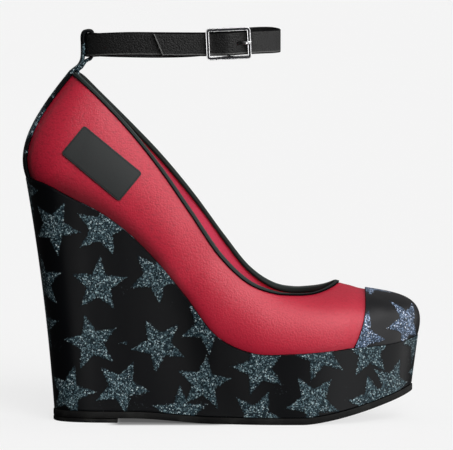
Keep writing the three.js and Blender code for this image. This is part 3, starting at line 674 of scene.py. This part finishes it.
def seam_and_crease_shade(place, hide, tone):
    """Painted shade: darker streaks for the shade in fine creases over the counter, and darker
    along the seam where the wall turns under, less so at the front and the heel end.
    """
    front = place.parts()[0].between(0.03, 0.09)
    crease_noise = place.node("Mapping", None, {"Vector": place, "Scale": (0.4, 0.4, 1)}).noise(950, 3)
    # painted shade in the creases, fainter towards the front
    tone = (crease_noise.between(0.5, 0.66) * (0.32 - front * 0.22)).mix(tone, tint(116, 12, 30))
    rise = place.node("UVMap", {"uv_map": "Wall"}).parts()[1]
    rear = place.parts()[0].between(-0.008, -0.03)
    # painted shade along the seam, weaker at the front and the heel end
    return (rise + hide * 6 + front * 8 + rear * 7).between(2, 18).mix(tint(104, 9, 24), tone)


red_leather = leather("red_leather", tint(194, 29, 56), 0.9, 0.00014, 0.38, 0.5, seam_and_crease_shade)
placed(upper, "red_upper", [red_leather, lining], "red_leather", "upper")

# Toe cap: the wedge's star cloth, cut straight across the toes, skived thin and lasted over the
# vamp. Its cut edge shows as a thin black line.
RIM_ROUNDING = 3.5  # a sheet's thickness over the radius of its cut edge


def bisected(low, high, inside):
    """Where inside stops holding, between arrays of places low and high."""
    for _ in range(30):
        middle = (low + high) / 2
        keep = inside(middle)
        low, high = np.where(keep, middle, low), np.where(keep, high, middle)
    return low


def in_cap(t, h):
    point = face(t, h)
    return point[..., 0] > cap_edge(point[..., 2] - seat_height(point[..., 0]))


def thickened(piece, thickness, rim_finish=0):
    """A wall either side of the sheet, with its cut edge rounded."""
    solid = piece.modifiers.new("wall", "SOLIDIFY")
    solid.thickness, solid.offset = thickness / 1000, 0
    solid.material_offset_rim = rim_finish
    bevel = piece.modifiers.new("edge", "BEVEL")
    bevel.width, bevel.segments, bevel.limit_method = thickness / 1000 / RIM_ROUNDING, 2, "ANGLE"
    return piece


cap_ends = bisected(np.array([0.5, 0.5]), np.array([0.3, 0.7]), lambda t: in_cap(t, 0 * t + 0.005))
cap_turns = np.linspace(*cap_ends, 111)
cap_reach = bisected(0 * cap_turns, 0 * cap_turns + 1, lambda h: in_cap(cap_turns, h))
t, h = np.broadcast_arrays(cap_turns, np.linspace(0, 1, 41)[:, None] * cap_reach)
toe_cap = formed(off_face(t, h, GAP + CAP_THICKNESS / 2), closed=False)
TOE_STARS = (
    (0, 181, 53.8, 46), (0, 154.9, 48, 63), (90, 5, 100, 46),
    (90, 24, 56, 35), (180, -150, 50, 15), (180, -172, 66, 60),
)
star_chart(toe_cap, TOE_STARS)
# The toe's grains are painted lighter than the wedge's as painted light, and tinted bluer.
TOE_PAINTED_LIGHT_AND_TINT = (2.1, 1.85, 2.4, 1)  # the toe's grains against the wedge's
TOE_LIT_GLITTER = tuple(
    (place, tuple(min(1, c * more) for c, more in zip(colour, TOE_PAINTED_LIGHT_AND_TINT)))
    for place, colour in GLITTER
)
# painted light: the cap's cloth is a lighter copy of the wedge's black
cap_cloth = star_print("toe_star_cloth_painted_lighter", tint(14, 14, 16), TOE_LIT_GLITTER, 0.24)
cut_edge = leather("cut_edge", tint(10, 10, 11), 0.5, 0.00003, 0.7, 0.03)
cap_piece = placed(toe_cap, "star_toe_cap", [cap_cloth, cut_edge], "star_print", "toe_cap")
thickened(cap_piece, CAP_THICKNESS, 1)

# Topline binding: a strip of thin charcoal leather folded over the edge of the upper and stitched
# down, from one side of the heel stay round the throat to the other.
BINDING_THICKNESS = 0.7
BINDING_DEPTH = 1.7
BINDING_TURN_IN = 1
BINDING_EASE = 0.08
FOLD_START = 0.3
TOP_BAND = 0.045
TAB_WIDTH = 12
slack = GAP + BINDING_EASE + BINDING_THICKNESS / 2


def turn_at(y, h):
    """Where the wall lies y to the side of the heel's middle, at h."""
    low = bisected(0 * y, 0 * y + 0.12, lambda t: np.abs(face(t, h)[..., 1]) < np.abs(y))
    return np.where(y > 0, -low, low)


binding_start = float(turn_at(np.array([-TAB_WIDTH / 2 - 2 * GAP]), np.array([1.0]))[0])
binding_turns = np.linspace(binding_start, 1 - binding_start, 361)
top = np.ones_like(binding_turns)
top_line = face(binding_turns, top)
rise = np.linalg.norm(top_line - face(binding_turns, top - TOP_BAND), axis=-1) / TOP_BAND
up = top_line - face(binding_turns, top - 0.02)
up /= np.linalg.norm(up, axis=-1, keepdims=True)
half = UPPER_WALL / 2 + slack


def flat_rows(start, end, count, distance):
    """Rows of the strip that lie on the wall, from one depth under the topline to another."""
    depths = np.linspace(start, end, count)
    return [off_face(binding_turns, 1 - depth / rise, distance) for depth in depths]


folds = flat_rows(BINDING_DEPTH, FOLD_START, 4, slack)
folds += [
    off_face(binding_turns, top, half * math.cos(a) - UPPER_WALL / 2) + up * (slack * math.sin(a))
    for a in np.linspace(0, math.pi, 9)
]
folds += flat_rows(FOLD_START, BINDING_TURN_IN, 3, -UPPER_WALL - slack)
binding = formed(np.stack(folds), closed=False)
for f, _, v in grid_places(binding):
    f.material_index = int(v * (len(folds) - 1) < 1)  # the row at its cut edge


def fold_highlight_and_turn_in_shade(place, hide, tone):
    """Painted highlight in a lighter line along the crown of the fold, and painted shade where the
    strip is turned in.
    """
    _, v, _ = place.node("UVMap", {"uv_map": "Grid"}).parts()
    fold_highlight = v.between(0.22, 0.34) * v.between(0.5, 0.42)
    # painted shade inside the topline, and the painted highlight along the fold's crown
    return v.between(0.5, 0.72).mix((fold_highlight * 0.55).mix(tone, tint(78, 86, 84)), tint(20, 25, 23))


charcoal = leather("charcoal_binding", tint(35, 43, 41), 0.45, 0.00003, 0.5, 0.15, fold_highlight_and_turn_in_shade)
binding_piece = placed(
    binding, "folded_binding", [charcoal, cut_edge], "binding", "topline_binding")
thickened(binding_piece, BINDING_THICKNESS, 1)

# Side label: a bare rectangle of smooth dark grey leather on the outer quarter, glued and sewn on
# with a close line of stitches just inside its edge.
LABEL_LENGTH = 41.7
LABEL_WIDTH = 20
LABEL_THICKNESS = 0.8
LABEL_X = 9.2
LABEL_Z = 145.6
LABEL_ANGLE = math.radians(-39.5)
LABEL_CORNER = 1.6
STITCH_BEAT = 4.2  # radians to a millimetre of the line of stitches
a, b = np.meshgrid(
    np.linspace(-0.5, 0.5, 85) * LABEL_LENGTH,
    np.linspace(-0.5, 0.5, 41) * LABEL_WIDTH,
)

# Each corner is rounded by pulling in what lies past its circle
past = np.stack([np.abs(a) - LABEL_LENGTH / 2, np.abs(b) - LABEL_WIDTH / 2], -1) + LABEL_CORNER
past = np.maximum(past, 0)
from_centre = np.linalg.norm(past, axis=-1)
over = np.maximum(0, from_centre - LABEL_CORNER)
pull = past * (over / np.maximum(from_centre, 1e-6))[..., None]
a, b = a - np.sign(a) * pull[..., 0], b - np.sign(b) * pull[..., 1]
x = LABEL_X + a * math.cos(LABEL_ANGLE) - b * math.sin(LABEL_ANGLE)
z = LABEL_Z + a * math.sin(LABEL_ANGLE) + b * math.cos(LABEL_ANGLE)

# Seen from the side, x and z say where the label lies, and these steps find that place on the wall
t, h = 0 * x + 0.12, 0 * x + 0.5
for _ in range(20):
    here = face(t, h)
    by_t, by_h = (face(t + 1e-3, h) - here) * 1000, (face(t, h + 1e-3) - here) * 1000
    area = by_t[..., 0] * by_h[..., 2] - by_h[..., 0] * by_t[..., 2]
    dx, dz = x - here[..., 0], z - here[..., 2]
    t = t + (dx * by_h[..., 2] - dz * by_h[..., 0]) / area
    h = h + (by_t[..., 0] * dz - by_t[..., 2] * dx) / area
label = formed(off_face(t, h, GAP + LABEL_THICKNESS / 2), closed=False)


def stitches_in_painted_groove(place, hide, tone):
    """Stitches just inside the edge, lying in a groove that is painted dark as its shade."""
    u, v, _ = place.node("UVMap", {"uv_map": "Grid"}).parts()
    in_u = (0.5 - (u - 0.5).math("ABSOLUTE")) * LABEL_LENGTH
    in_v = (0.5 - (v - 0.5).math("ABSOLUTE")) * LABEL_WIDTH
    inset = in_u.math("MINIMUM", in_v)
    stitch = ((u * LABEL_LENGTH + v * LABEL_WIDTH) * STITCH_BEAT).math("SINE").between(-0.6, 0.2)
    # the groove's darkness is painted shade; the stitches break it
    groove = inset.between(0.4, 0.6) * inset.between(1.1, 0.9)
    return (groove * (0.75 - stitch * 0.45)).mix(tone, tint(14, 14, 15))


grey_label = leather("grey_label", tint(51, 53, 53), 0.4, 0.00002, 0.5, 0.2, stitches_in_painted_groove)
label_piece = placed(label, "bare_label", [grey_label, cut_edge], "label", "side_label")
thickened(label_piece, LABEL_THICKNESS, 1)

# Heel stay: a strip of star cloth over the back seam. It stands above the topline, folds forward
# over the ankle strap and comes down again inside the heel, where it is glued and stitched.
STRAP_HEIGHT = 210.1
STRAP_WIDTH = 13.2
TAB_END_WIDTH = 9
LOOP_BACK = -2.2
LOOP_FRONT = 3.1
LOOP_BEND = 14.5
TAB_STEP = STAY_THICKNESS + GAP
TAB_LEAN = 2.1
TAB_DROP = 3.5
TAB_LEAVES = 0.97  # how far up the wall the strip leaves it, and the tab comes back to it
TAB_END = 0.83
LOOP_TOP = STRAP_HEIGHT + STRAP_WIDTH / 2 + 2 * GAP + STAY_THICKNESS / 2
LOOP_FOOT = STRAP_HEIGHT - STRAP_WIDTH / 2 - 2 * GAP - STAY_THICKNESS / 2


def open_line(rows):
    """The line through the rows, for shares from 0 to 1, and its direction."""
    rows = np.array(rows, float)
    count = len(rows) - 1
    padded = np.vstack([2 * rows[0] - rows[1], rows, 2 * rows[-1] - rows[-2]])

    def line(share):
        place = np.clip(share, 0, 1) * count
        first = np.minimum(np.floor(place).astype(int), count - 1)
        return spline([padded[first + k] for k in range(4)], (place - first)[..., None])

    def direction(share):
        step = line(np.minimum(share + 1e-4, 1)) - line(np.maximum(share - 1e-4, 0))
        return step / np.linalg.norm(step, axis=-1, keepdims=True)

    return line, direction


across = np.linspace(0.5, -0.5, 13)


def on_counter(heights, widths, distance):
    y, h = np.broadcast_arrays(widths[:, None] * across, heights[:, None])
    return off_face(turn_at(y, h), h, distance)


stay_off = GAP + STAY_THICKNESS / 2
outside_h = np.linspace(0, TAB_LEAVES, 50)
outside = on_counter(outside_h, STAY_WIDTH + (TAB_WIDTH - STAY_WIDTH) * outside_h, stay_off)
inside_h = np.linspace(TAB_LEAVES, TAB_END, 10)
inside = on_counter(inside_h, np.full_like(inside_h, TAB_END_WIDTH), -UPPER_WALL - stay_off)
edge_x, _, edge_z = off_face(np.zeros(1), np.ones(1), stay_off)[0]
loop_line, _ = open_line([(x, 0, z) for x, z in (
    (edge_x, edge_z),
    (edge_x + 2.2, edge_z + 1.7),
    (LOOP_BACK - TAB_LEAN, LOOP_FOOT - TAB_DROP),
    (LOOP_BACK - 0.7, LOOP_FOOT - 1.2),
    (LOOP_BACK - 0.1, LOOP_FOOT + 1.4),
    (LOOP_BACK, STRAP_HEIGHT),
    (LOOP_BACK, LOOP_TOP - 2.4),
    (LOOP_BACK + 0.9, LOOP_TOP - 0.5),
    ((LOOP_BACK + LOOP_FRONT) / 2, LOOP_TOP),
    (LOOP_FRONT - 0.9, LOOP_TOP - 0.5),
    (LOOP_FRONT, LOOP_TOP - 2.4),
    (LOOP_FRONT, STRAP_HEIGHT),
    (LOOP_FRONT - 0.1, LOOP_FOOT + 2.4),
    (LOOP_FRONT - 1.2, LOOP_FOOT + 0.3),
    (LOOP_BACK + TAB_STEP, LOOP_FOOT - 1.1),
    (LOOP_BACK - TAB_LEAN + TAB_STEP * 0.8, LOOP_FOOT - TAB_DROP - TAB_STEP * 0.6),
    (edge_x + TAB_STEP + 2.3, edge_z + 0.9),
    (edge_x + UPPER_WALL + 1.9, edge_z - 2.5),
)])
share = np.linspace(0, 1, 121)
y = (TAB_WIDTH + (TAB_END_WIDTH - TAB_WIDTH) * smooth(share * 2 - 1))[:, None] * across
tab = np.repeat(loop_line(share)[:, None], len(across), 1)
tab[..., 0] += LOOP_BEND - np.sqrt(LOOP_BEND**2 - y**2)
tab[..., 1] = y
heel_stay = formed(np.concatenate([outside, tab, inside]), closed=False)
STAY_STARS = (
    (270, 14, 169, 36), (270, -7, 150, 10), (270, -9, 186, 50),
    (270, 8, 201, 18), (90, -8, 200, 54),
)
star_chart(heel_stay, STAY_STARS)
stay_cloth = star_print("stay_star_cloth", CLOTH_BLACK, GLITTER, 0.06)
stay_piece = placed(heel_stay, "star_heel_stay", [stay_cloth], "star_print", "heel_stay")
thickened(stay_piece, STAY_THICKNESS)

# Ankle strap: one strap of fine black leather with painted edges. It is folded round the buckle's
# centre bar, runs back through the heel loop and round the ankle, and comes out again over the bar
# as a loose tail with a slanted end. The prong stands in slots punched through it.
STRAP_THICKNESS = 2
STRAP_SKIVED = 1.1
TIP_SLANT = 5.5
BUCKLE_X = 79.8
BUCKLE_Y = -31.3
BUCKLE_THICKNESS = 2
BUCKLE_RISE = 2.6
BUCKLE_TILT = math.radians(2.6)
CENTRE_BAR_RADIUS = 1
CENTRE_BAR_INSET = 2.6
SLOT = 1.2
LEAN_END = -14
ROW_STEPS = 12
DIAGONAL = 0.71  # how far a round of radius 1 goes out and up at 45 degrees
eye = CENTRE_BAR_RADIUS + 2 * GAP + STRAP_SKIVED / 2
over_bar = eye + STRAP_SKIVED / 2 + GAP + STRAP_THICKNESS / 2
under_frame = CENTRE_BAR_INSET - BUCKLE_THICKNESS / 2 - GAP - STRAP_THICKNESS / 2


def beside_buckle(rows):
    """Rows given from the buckle's bar, put where the buckle sits and leans."""
    bar_y, lean = BUCKLE_Y + CENTRE_BAR_INSET, math.tan(BUCKLE_TILT)
    return [
        (BUCKLE_X + x, bar_y + y, BUCKLE_RISE + max(LEAN_END, x) * lean, thickness)
        for x, y, thickness in rows
    ]


# A row is along, inward, height over STRAP_HEIGHT and thickness, from the end folded round the bar.
# Beside the buckle the height follows its lean and isn't given.
strap_rows = beside_buckle((
    (-13, 3.5, STRAP_SKIVED),
    (-7, 3, STRAP_SKIVED),
    (-2.6, 2.2, STRAP_SKIVED),
    (0, eye, STRAP_SKIVED),
    (eye * DIAGONAL, eye * DIAGONAL, STRAP_SKIVED),
    (eye, 0, STRAP_SKIVED),
    (eye * DIAGONAL, -eye * DIAGONAL, STRAP_SKIVED),
    (0, -eye, STRAP_SKIVED),
    (-2.4, -1.2, STRAP_SKIVED),
    (-5.6, 0.8, STRAP_SKIVED),
    (-9, 1.8, STRAP_SKIVED),
    (-13, 1.95, STRAP_SKIVED),
    (-18, 2.6, STRAP_THICKNESS),
))
strap_rows += [(*row, STRAP_THICKNESS) for row in (  # round the ankle
    (42, -26.5, 2.1),
    (25, -23.2, 2),
    (11, -16.8, 1.2),
    (3, -8.6, 0.3),
    (0.2, 0, 0),
    (3, 8.6, -0.3),
    (11, 16.8, -1.2),
    (25, 23.6, -2),
    (42, 27.2, -2.4),
    (60, 27.8, -1.9),
    (78, 25.4, 0.2),
    (93, 19.2, 2.1),
    (103.5, 10.4, 2.8),
    (108, -1, 2.5),
    (104.5, -12.6, 2.7),
    (98.8, -21, 3),
)]
strap_rows += beside_buckle((  # the tail, under the frame and over the bar
    (13.2, -under_frame + 0.2, STRAP_THICKNESS),
    (9.3, -under_frame, STRAP_THICKNESS),
    (5, -2.5, STRAP_THICKNESS),
    (0, -over_bar, STRAP_THICKNESS),
    (-5, -2.5, STRAP_THICKNESS),
    (-9.3, -under_frame, STRAP_THICKNESS),
    (-13.2, -under_frame + 0.1, STRAP_THICKNESS),
))
strap_rows += [
    (62, -28.9, 2, STRAP_THICKNESS),
    (52, -29.3, 2, STRAP_THICKNESS),
    (40.6, -29.1, 2, STRAP_THICKNESS),
]
strap_line, strap_direction = open_line([(x, y, STRAP_HEIGHT + up) for x, y, up, _ in strap_rows])
strap_depth, _ = open_line([(thickness, 0, 0) for *_, thickness in strap_rows])

# The section goes up the strap's inner side, over its top edge, down its outer side and back
# under its lower edge. Each side of it is given in half thicknesses and in millimetres of height.
levels = (-5.9, -4.4, -2.8, -SLOT, SLOT, 2.8, 4.4, 5.9)
top_edge = ((-0.92, 6.2), (-0.6, 6.5), (0, 6.6), (0.6, 6.5), (0.92, 6.2))
section = [(-1, z) for z in levels] + list(top_edge) + [(1, z) for z in levels[::-1]]
section += [(side, -z) for side, z in top_edge[::-1]]
section = np.array(section + section[:1])
SECTION_SPANS = len(section) - 1
STRAP_STEPS = ROW_STEPS * (len(strap_rows) - 1)
share = np.linspace(0, 1, STRAP_STEPS + 1)
middle = strap_line(share)
ahead = with_height(strap_direction(share), 0 * share)
ahead /= np.linalg.norm(ahead, axis=-1, keepdims=True)
left = np.stack([-ahead[:, 1], ahead[:, 0], 0 * share], -1)
slant = TIP_SLANT / 2 * smooth((share - 1) * (len(strap_rows) - 1) / 2 + 1)
level = section[:, 1] / (STRAP_WIDTH / 2)
half = strap_depth(share)[:, :1] / 2
strap_table = (
    middle[:, None]
    + left[:, None] * (half * section[:, 0])[..., None]
    + ahead[:, None] * (slant[:, None] * level)[..., None]
)
strap_table[..., 2] += section[:, 1]
ankle_strap = formed(strap_table)
for f, u, _ in grid_places(ankle_strap):
    station = u * SECTION_SPANS
    f.material_index = int(7 < station < 13 or station > 20)  # its two edges are cut


def punch(mesh, first, last):
    """Cuts a slot through the middle of the strap between two of its rows, with its wall."""
    cut = []
    for f, u, v in grid_places(mesh):
        station = u * SECTION_SPANS
        if first < v * STRAP_STEPS < last and (3 < station < 4 or 16 < station < 17):
            cut.append(f)
    near = {e for f in cut for e in f.edges}
    bmesh.ops.delete(mesh, geom=cut, context="FACES_ONLY")
    rim_edges = [e for e in near if e.is_valid and len(e.link_faces) == 1]
    bmesh.ops.bridge_loops(mesh, edges=rim_edges)


def strap_step(lowest, highest, x):
    """The row of the strap nearest to a place along the shoe, between two rows of its table."""
    rows = np.arange(lowest * ROW_STEPS, highest * ROW_STEPS + 1)
    return int(rows[np.argmin(np.abs(middle[rows, 0] - x))])


FOLD_SLOT_X = BUCKLE_X - 3.6
punch(ankle_strap, strap_step(1, 4, FOLD_SLOT_X), strap_step(7, 10, FOLD_SLOT_X))
tail = len(strap_rows) - 10
hole_start = strap_step(tail, tail + 2, BUCKLE_X + 9)
hole_end = strap_step(tail + 1, tail + 3, BUCKLE_X + 4.4)
punch(ankle_strap, hole_start, hole_end)
capped(ankle_strap)


def edge_highlight(place, hide, tone):
    """A painted highlight in a fine line beside the lower edge, where its rounding would catch the
    light, and a lighter grey across the tail's end.
    """
    u, v, _ = place.node("UVMap", {"uv_map": "Grid"}).parts()
    station, from_end = u * SECTION_SPANS, (1 - v) * STRAP_STEPS
    low = station.between(19.45, 19.65) * (0.3 + hide * 0.9)
    end = from_end.between(0.9, 0.6) * station.between(12.9, 13.1)
    # painted highlight along the lower edge, and the lighter tail end
    return (low + end).mix(tone, tint(104, 104, 103))


black_leather = leather("black_strap_leather", tint(32, 32, 32), 0.8, 0.0006, 0.42, 0.22, edge_highlight)
placed(
    ankle_strap, "leather_ankle_strap", [black_leather, cut_edge], "black_leather", "ankle_strap")

# Buckle: a rectangular frame of polished metal with a groove round its face, a round centre bar set
# behind it on two lugs, and a flat prong with its ring round that bar.
BUCKLE_LENGTH = 25
BUCKLE_HEIGHT = 17.6
BUCKLE_BAR = 1.9
BUCKLE_CORNER = 1.1
LUG_SHARE = 0.7
PRONG_WIDTH = 1.8
PRONG_THICKNESS = 0.9
upright = Matrix.Rotation(math.pi / 2, 4, "X")
on_buckle = (
    Matrix.Translation(Vector((BUCKLE_X, BUCKLE_Y, STRAP_HEIGHT + BUCKLE_RISE)) / 1000)
    @ upright
    @ Matrix.Rotation(BUCKLE_TILT, 4, "Z")
)


def polished(name, colour, roughness):
    """Plated metal, with faint wipe marks from polishing."""
    finish, shader, place = new_finish(name)
    wipes = place.noise(420, 4)
    fine = place.noise(3800, 2)
    tone = wipes.mix(shaded(colour, 0.86), colour)
    dress(shader, place, tone, roughness + wipes * 0.12, fine, 0.000006, Metallic=1)
    return finish


FRAME_SECTION = (  # out from the middle of the bar, and forward
    (-0.95, -0.75), (-0.75, -1), (0.75, -1), (0.95, -0.75), (0.95, 0.7), (0.88, 0.92),
    (0.74, 1), (0.58, 0.95), (0.48, 0.62), (-0.48, 0.62), (-0.58, 0.95), (-0.74, 1),
    (-0.88, 0.92), (-0.95, 0.7), (-0.95, -0.75),
)
reach_x = (BUCKLE_LENGTH - BUCKLE_BAR) / 2 - BUCKLE_CORNER
reach_y = (BUCKLE_HEIGHT - BUCKLE_BAR) / 2 - BUCKLE_CORNER
frame_table = []
for quarter, (sx, sy) in enumerate(((1, 1), (-1, 1), (-1, -1), (1, -1))):
    for step in np.linspace(0, 1, 9):
        a = (quarter + step) * math.pi / 2
        frame_table.append([
            (
                sx * reach_x + math.cos(a) * (BUCKLE_CORNER + out),
                sy * reach_y + math.sin(a) * (BUCKLE_CORNER + out),
                forward,
            )
            for out, forward in FRAME_SECTION
        ])
buckle_frame = formed(np.array(frame_table + frame_table[:1]))
for f, u, _ in grid_places(buckle_frame):
    f.material_index = int(7 < u * (len(FRAME_SECTION) - 1) < 10)  # the groove's sides and floor
bar_length = BUCKLE_HEIGHT - BUCKLE_BAR
bmesh.ops.create_cone(
    buckle_frame, cap_ends=True, segments=24, depth=bar_length / 1000,
    radius1=CENTRE_BAR_RADIUS / 1000, radius2=CENTRE_BAR_RADIUS / 1000,
    matrix=Matrix.Translation((0, 0, -CENTRE_BAR_INSET / 1000)) @ upright)
lug_depth = CENTRE_BAR_INSET + CENTRE_BAR_RADIUS
lug_size = Vector((2 * CENTRE_BAR_RADIUS, BUCKLE_BAR * LUG_SHARE, lug_depth, 1000)) / 1000
for side in (-1, 1):
    lug_y = side * (bar_length - BUCKLE_BAR * (1 - LUG_SHARE)) / 2
    lug = Matrix.Translation(Vector((0, lug_y, -lug_depth / 2)) / 1000)
    bmesh.ops.create_cube(buckle_frame, size=1, matrix=lug @ Matrix.Diagonal(lug_size))
bmesh.ops.transform(buckle_frame, matrix=on_buckle, verts=buckle_frame.verts)
silver = polished("polished_silver", (0.9, 0.9, 0.91, 1), 0.22)
groove = polished("groove_silver", (0.05, 0.05, 0.055, 1), 0.4)
placed(buckle_frame, "silver_buckle_frame", [silver, groove], "silver", "buckle_frame")

# The prong goes from the open end of its ring round the bar and on over the frame
half_thick = PRONG_THICKNESS / 2
ring_radius = CENTRE_BAR_RADIUS + GAP + half_thick
ring_diagonal = ring_radius * DIAGONAL
rest = BUCKLE_THICKNESS / 2 + GAP + half_thick
prong_line, prong_direction = open_line([(x, 0, z) for x, z in (
    (-ring_diagonal, -CENTRE_BAR_INSET + ring_diagonal),
    (-ring_radius, -CENTRE_BAR_INSET),
    (-ring_diagonal, -CENTRE_BAR_INSET - ring_diagonal),
    (0, -CENTRE_BAR_INSET - ring_radius),
    (ring_diagonal, -CENTRE_BAR_INSET - ring_diagonal),
    (ring_radius + 0.4, -CENTRE_BAR_INSET),
    (4.6, -CENTRE_BAR_INSET + 0.4),
    (6.8, -1),
    (8.5, 0.9),
    (10.2, rest),
    (BUCKLE_LENGTH / 2 + 0.2, rest - 0.1),
)])
share = np.linspace(0, 1, 81)
prong_ahead = prong_direction(share)
prong_out = np.stack([-prong_ahead[:, 2], 0 * share, prong_ahead[:, 0]], -1)
prong_section = [(math.cos(a), math.sin(a)) for a in np.linspace(0, 2 * math.pi, 17)]
prong_table = np.stack([
    prong_line(share)
    + np.array([0, 1, 0]) * (PRONG_WIDTH / 2 * np.sign(c) * abs(c) ** 0.5)
    + prong_out * (half_thick * np.sign(s) * abs(s) ** 0.5)
    for c, s in prong_section
], 1)
buckle_prong = capped(formed(prong_table))
bmesh.ops.transform(buckle_prong, matrix=on_buckle, verts=buckle_prong.verts)
placed(buckle_prong, "silver_prong", [silver], "silver", "buckle_prong")

# Floor and light: a wide pale studio floor that glows like a lit table, with a painted shadow under
# the shoe's arch, dim light from all round, three soft lamps in front of the shoe and beyond its
# toe, and reflector sheets for the gloss.
FLOOR_REACH = 20  # metres


def grey(level):
    return (level, level, level, 1)


floor_mesh = bmesh.new()
bmesh.ops.create_grid(floor_mesh, x_segments=1, y_segments=1, size=FLOOR_REACH)
floor_data = bpy.data.meshes.new("studio_floor")
floor_mesh.to_mesh(floor_data)
floor_mesh.free()
floor = bpy.data.objects.new("studio_floor", floor_data)
bpy.context.collection.objects.link(floor)
paper, paper_shader, place = new_finish("pale_floor")
speck = place.noise(6, 2)
x, y, _ = place.parts()
# where the painted shadow under the arch lies
arch = x.between(0.01, 0.02) * x.between(0.085, 0.07) * y.math("ABSOLUTE").between(0.042, 0.03)
dress(paper_shader, place, speck.mix(grey(0.25), grey(0.255)), 0.8 + speck * 0.1, speck, 0.0001,
      Specular_IOR_Level=0, Emission_Strength=0.73)
# Painted shadow: the floor's glow is dimmed under the arch.
glow_with_painted_shadow = arch.mix(grey(1), grey(0.14))  # under the arch the shoe keeps the light off
paper.node_tree.links.new(glow_with_painted_shadow.socket, paper_shader.inputs["Emission Color"])
floor_data.materials.append(paper)
floor.visible_diffuse = floor.visible_glossy = False

studio = bpy.data.worlds.new("studio")
bpy.context.scene.world = studio
studio.use_nodes = True
room = Wire(studio.node_tree, None).node("TexCoord", None, None, "Generated")
room_stops = ((0, grey(0.05)), (0.46, grey(0.05)), (0.56, grey(0.16)), (1, grey(0.44)))
room_light = room.node("ValToRGB", {"stops": room_stops}, {0: 0.5 + room.parts()[2] * 0.5})
backdrop = studio.node_tree.nodes["Background"]
studio.node_tree.links.new(room_light.socket, backdrop.inputs["Color"])
studio.node_tree.links.new((0.78 + room.parts()[0] * 0.35).socket, backdrop.inputs["Strength"])


def soft_lamp(name, azimuth, elevation, strength, spread, gloss=False):
    """A distant soft lamp, from an azimuth that is 0 at the camera and 90 beyond the toe. It either
    lights the surfaces or, as a reflector sheet, is mirrored in them."""
    lamp = bpy.data.lights.new(name, "SUN")
    lamp.energy, lamp.angle = strength, math.radians(spread)
    holder = bpy.data.objects.new(name, lamp)
    bpy.context.collection.objects.link(holder)
    a, e = math.radians(azimuth), math.radians(elevation)
    towards = Vector((math.sin(a) * math.cos(e), -math.cos(a) * math.cos(e), math.sin(e)))
    holder.rotation_euler = towards.to_track_quat("Z", "Y").to_euler()
    holder.visible_diffuse, holder.visible_glossy = not gloss, gloss


soft_lamp("front_lamp", 17, 29, 2.12, 34)
soft_lamp("toe_lamp", 48, 16, 0.5, 28)
soft_lamp("side_lamp", 105, 20, 0.6, 60)
soft_lamp("over_sheet", 32, 46, 2.3, 50, gloss=True)
soft_lamp("toe_sheet", 88, 2, 2.4, 80, gloss=True)
soft_lamp("ball_sheet", 34, -6, 1.2, 40, gloss=True)
soft_lamp("heel_sheet", -22, -9, 0.42, 22, gloss=True)

# Camera: level with the outer side, a little above the floor's line, far enough away for the shoe
# to look nearly as in a drawing.
CAMERA_ELEVATION = math.radians(4.5)
CAMERA_DISTANCE = 6
VIEW_WIDTH = 0.2537
SENSOR_WIDTH = 36
camera_data = bpy.data.cameras.new("camera")
camera_data.sensor_width = SENSOR_WIDTH
camera_data.lens = SENSOR_WIDTH * CAMERA_DISTANCE / VIEW_WIDTH
camera = bpy.data.objects.new("camera", camera_data)
bpy.context.collection.objects.link(camera)
target = Vector((0.0787, 0, 0.109))
from_target = Vector((0, -math.cos(CAMERA_ELEVATION), math.sin(CAMERA_ELEVATION)))
camera.location = target + CAMERA_DISTANCE * from_target
camera.rotation_euler = (math.pi / 2 - CAMERA_ELEVATION, 0, 0)
bpy.context.scene.camera = camera
bpy.context.scene.view_settings.view_transform = "Standard"
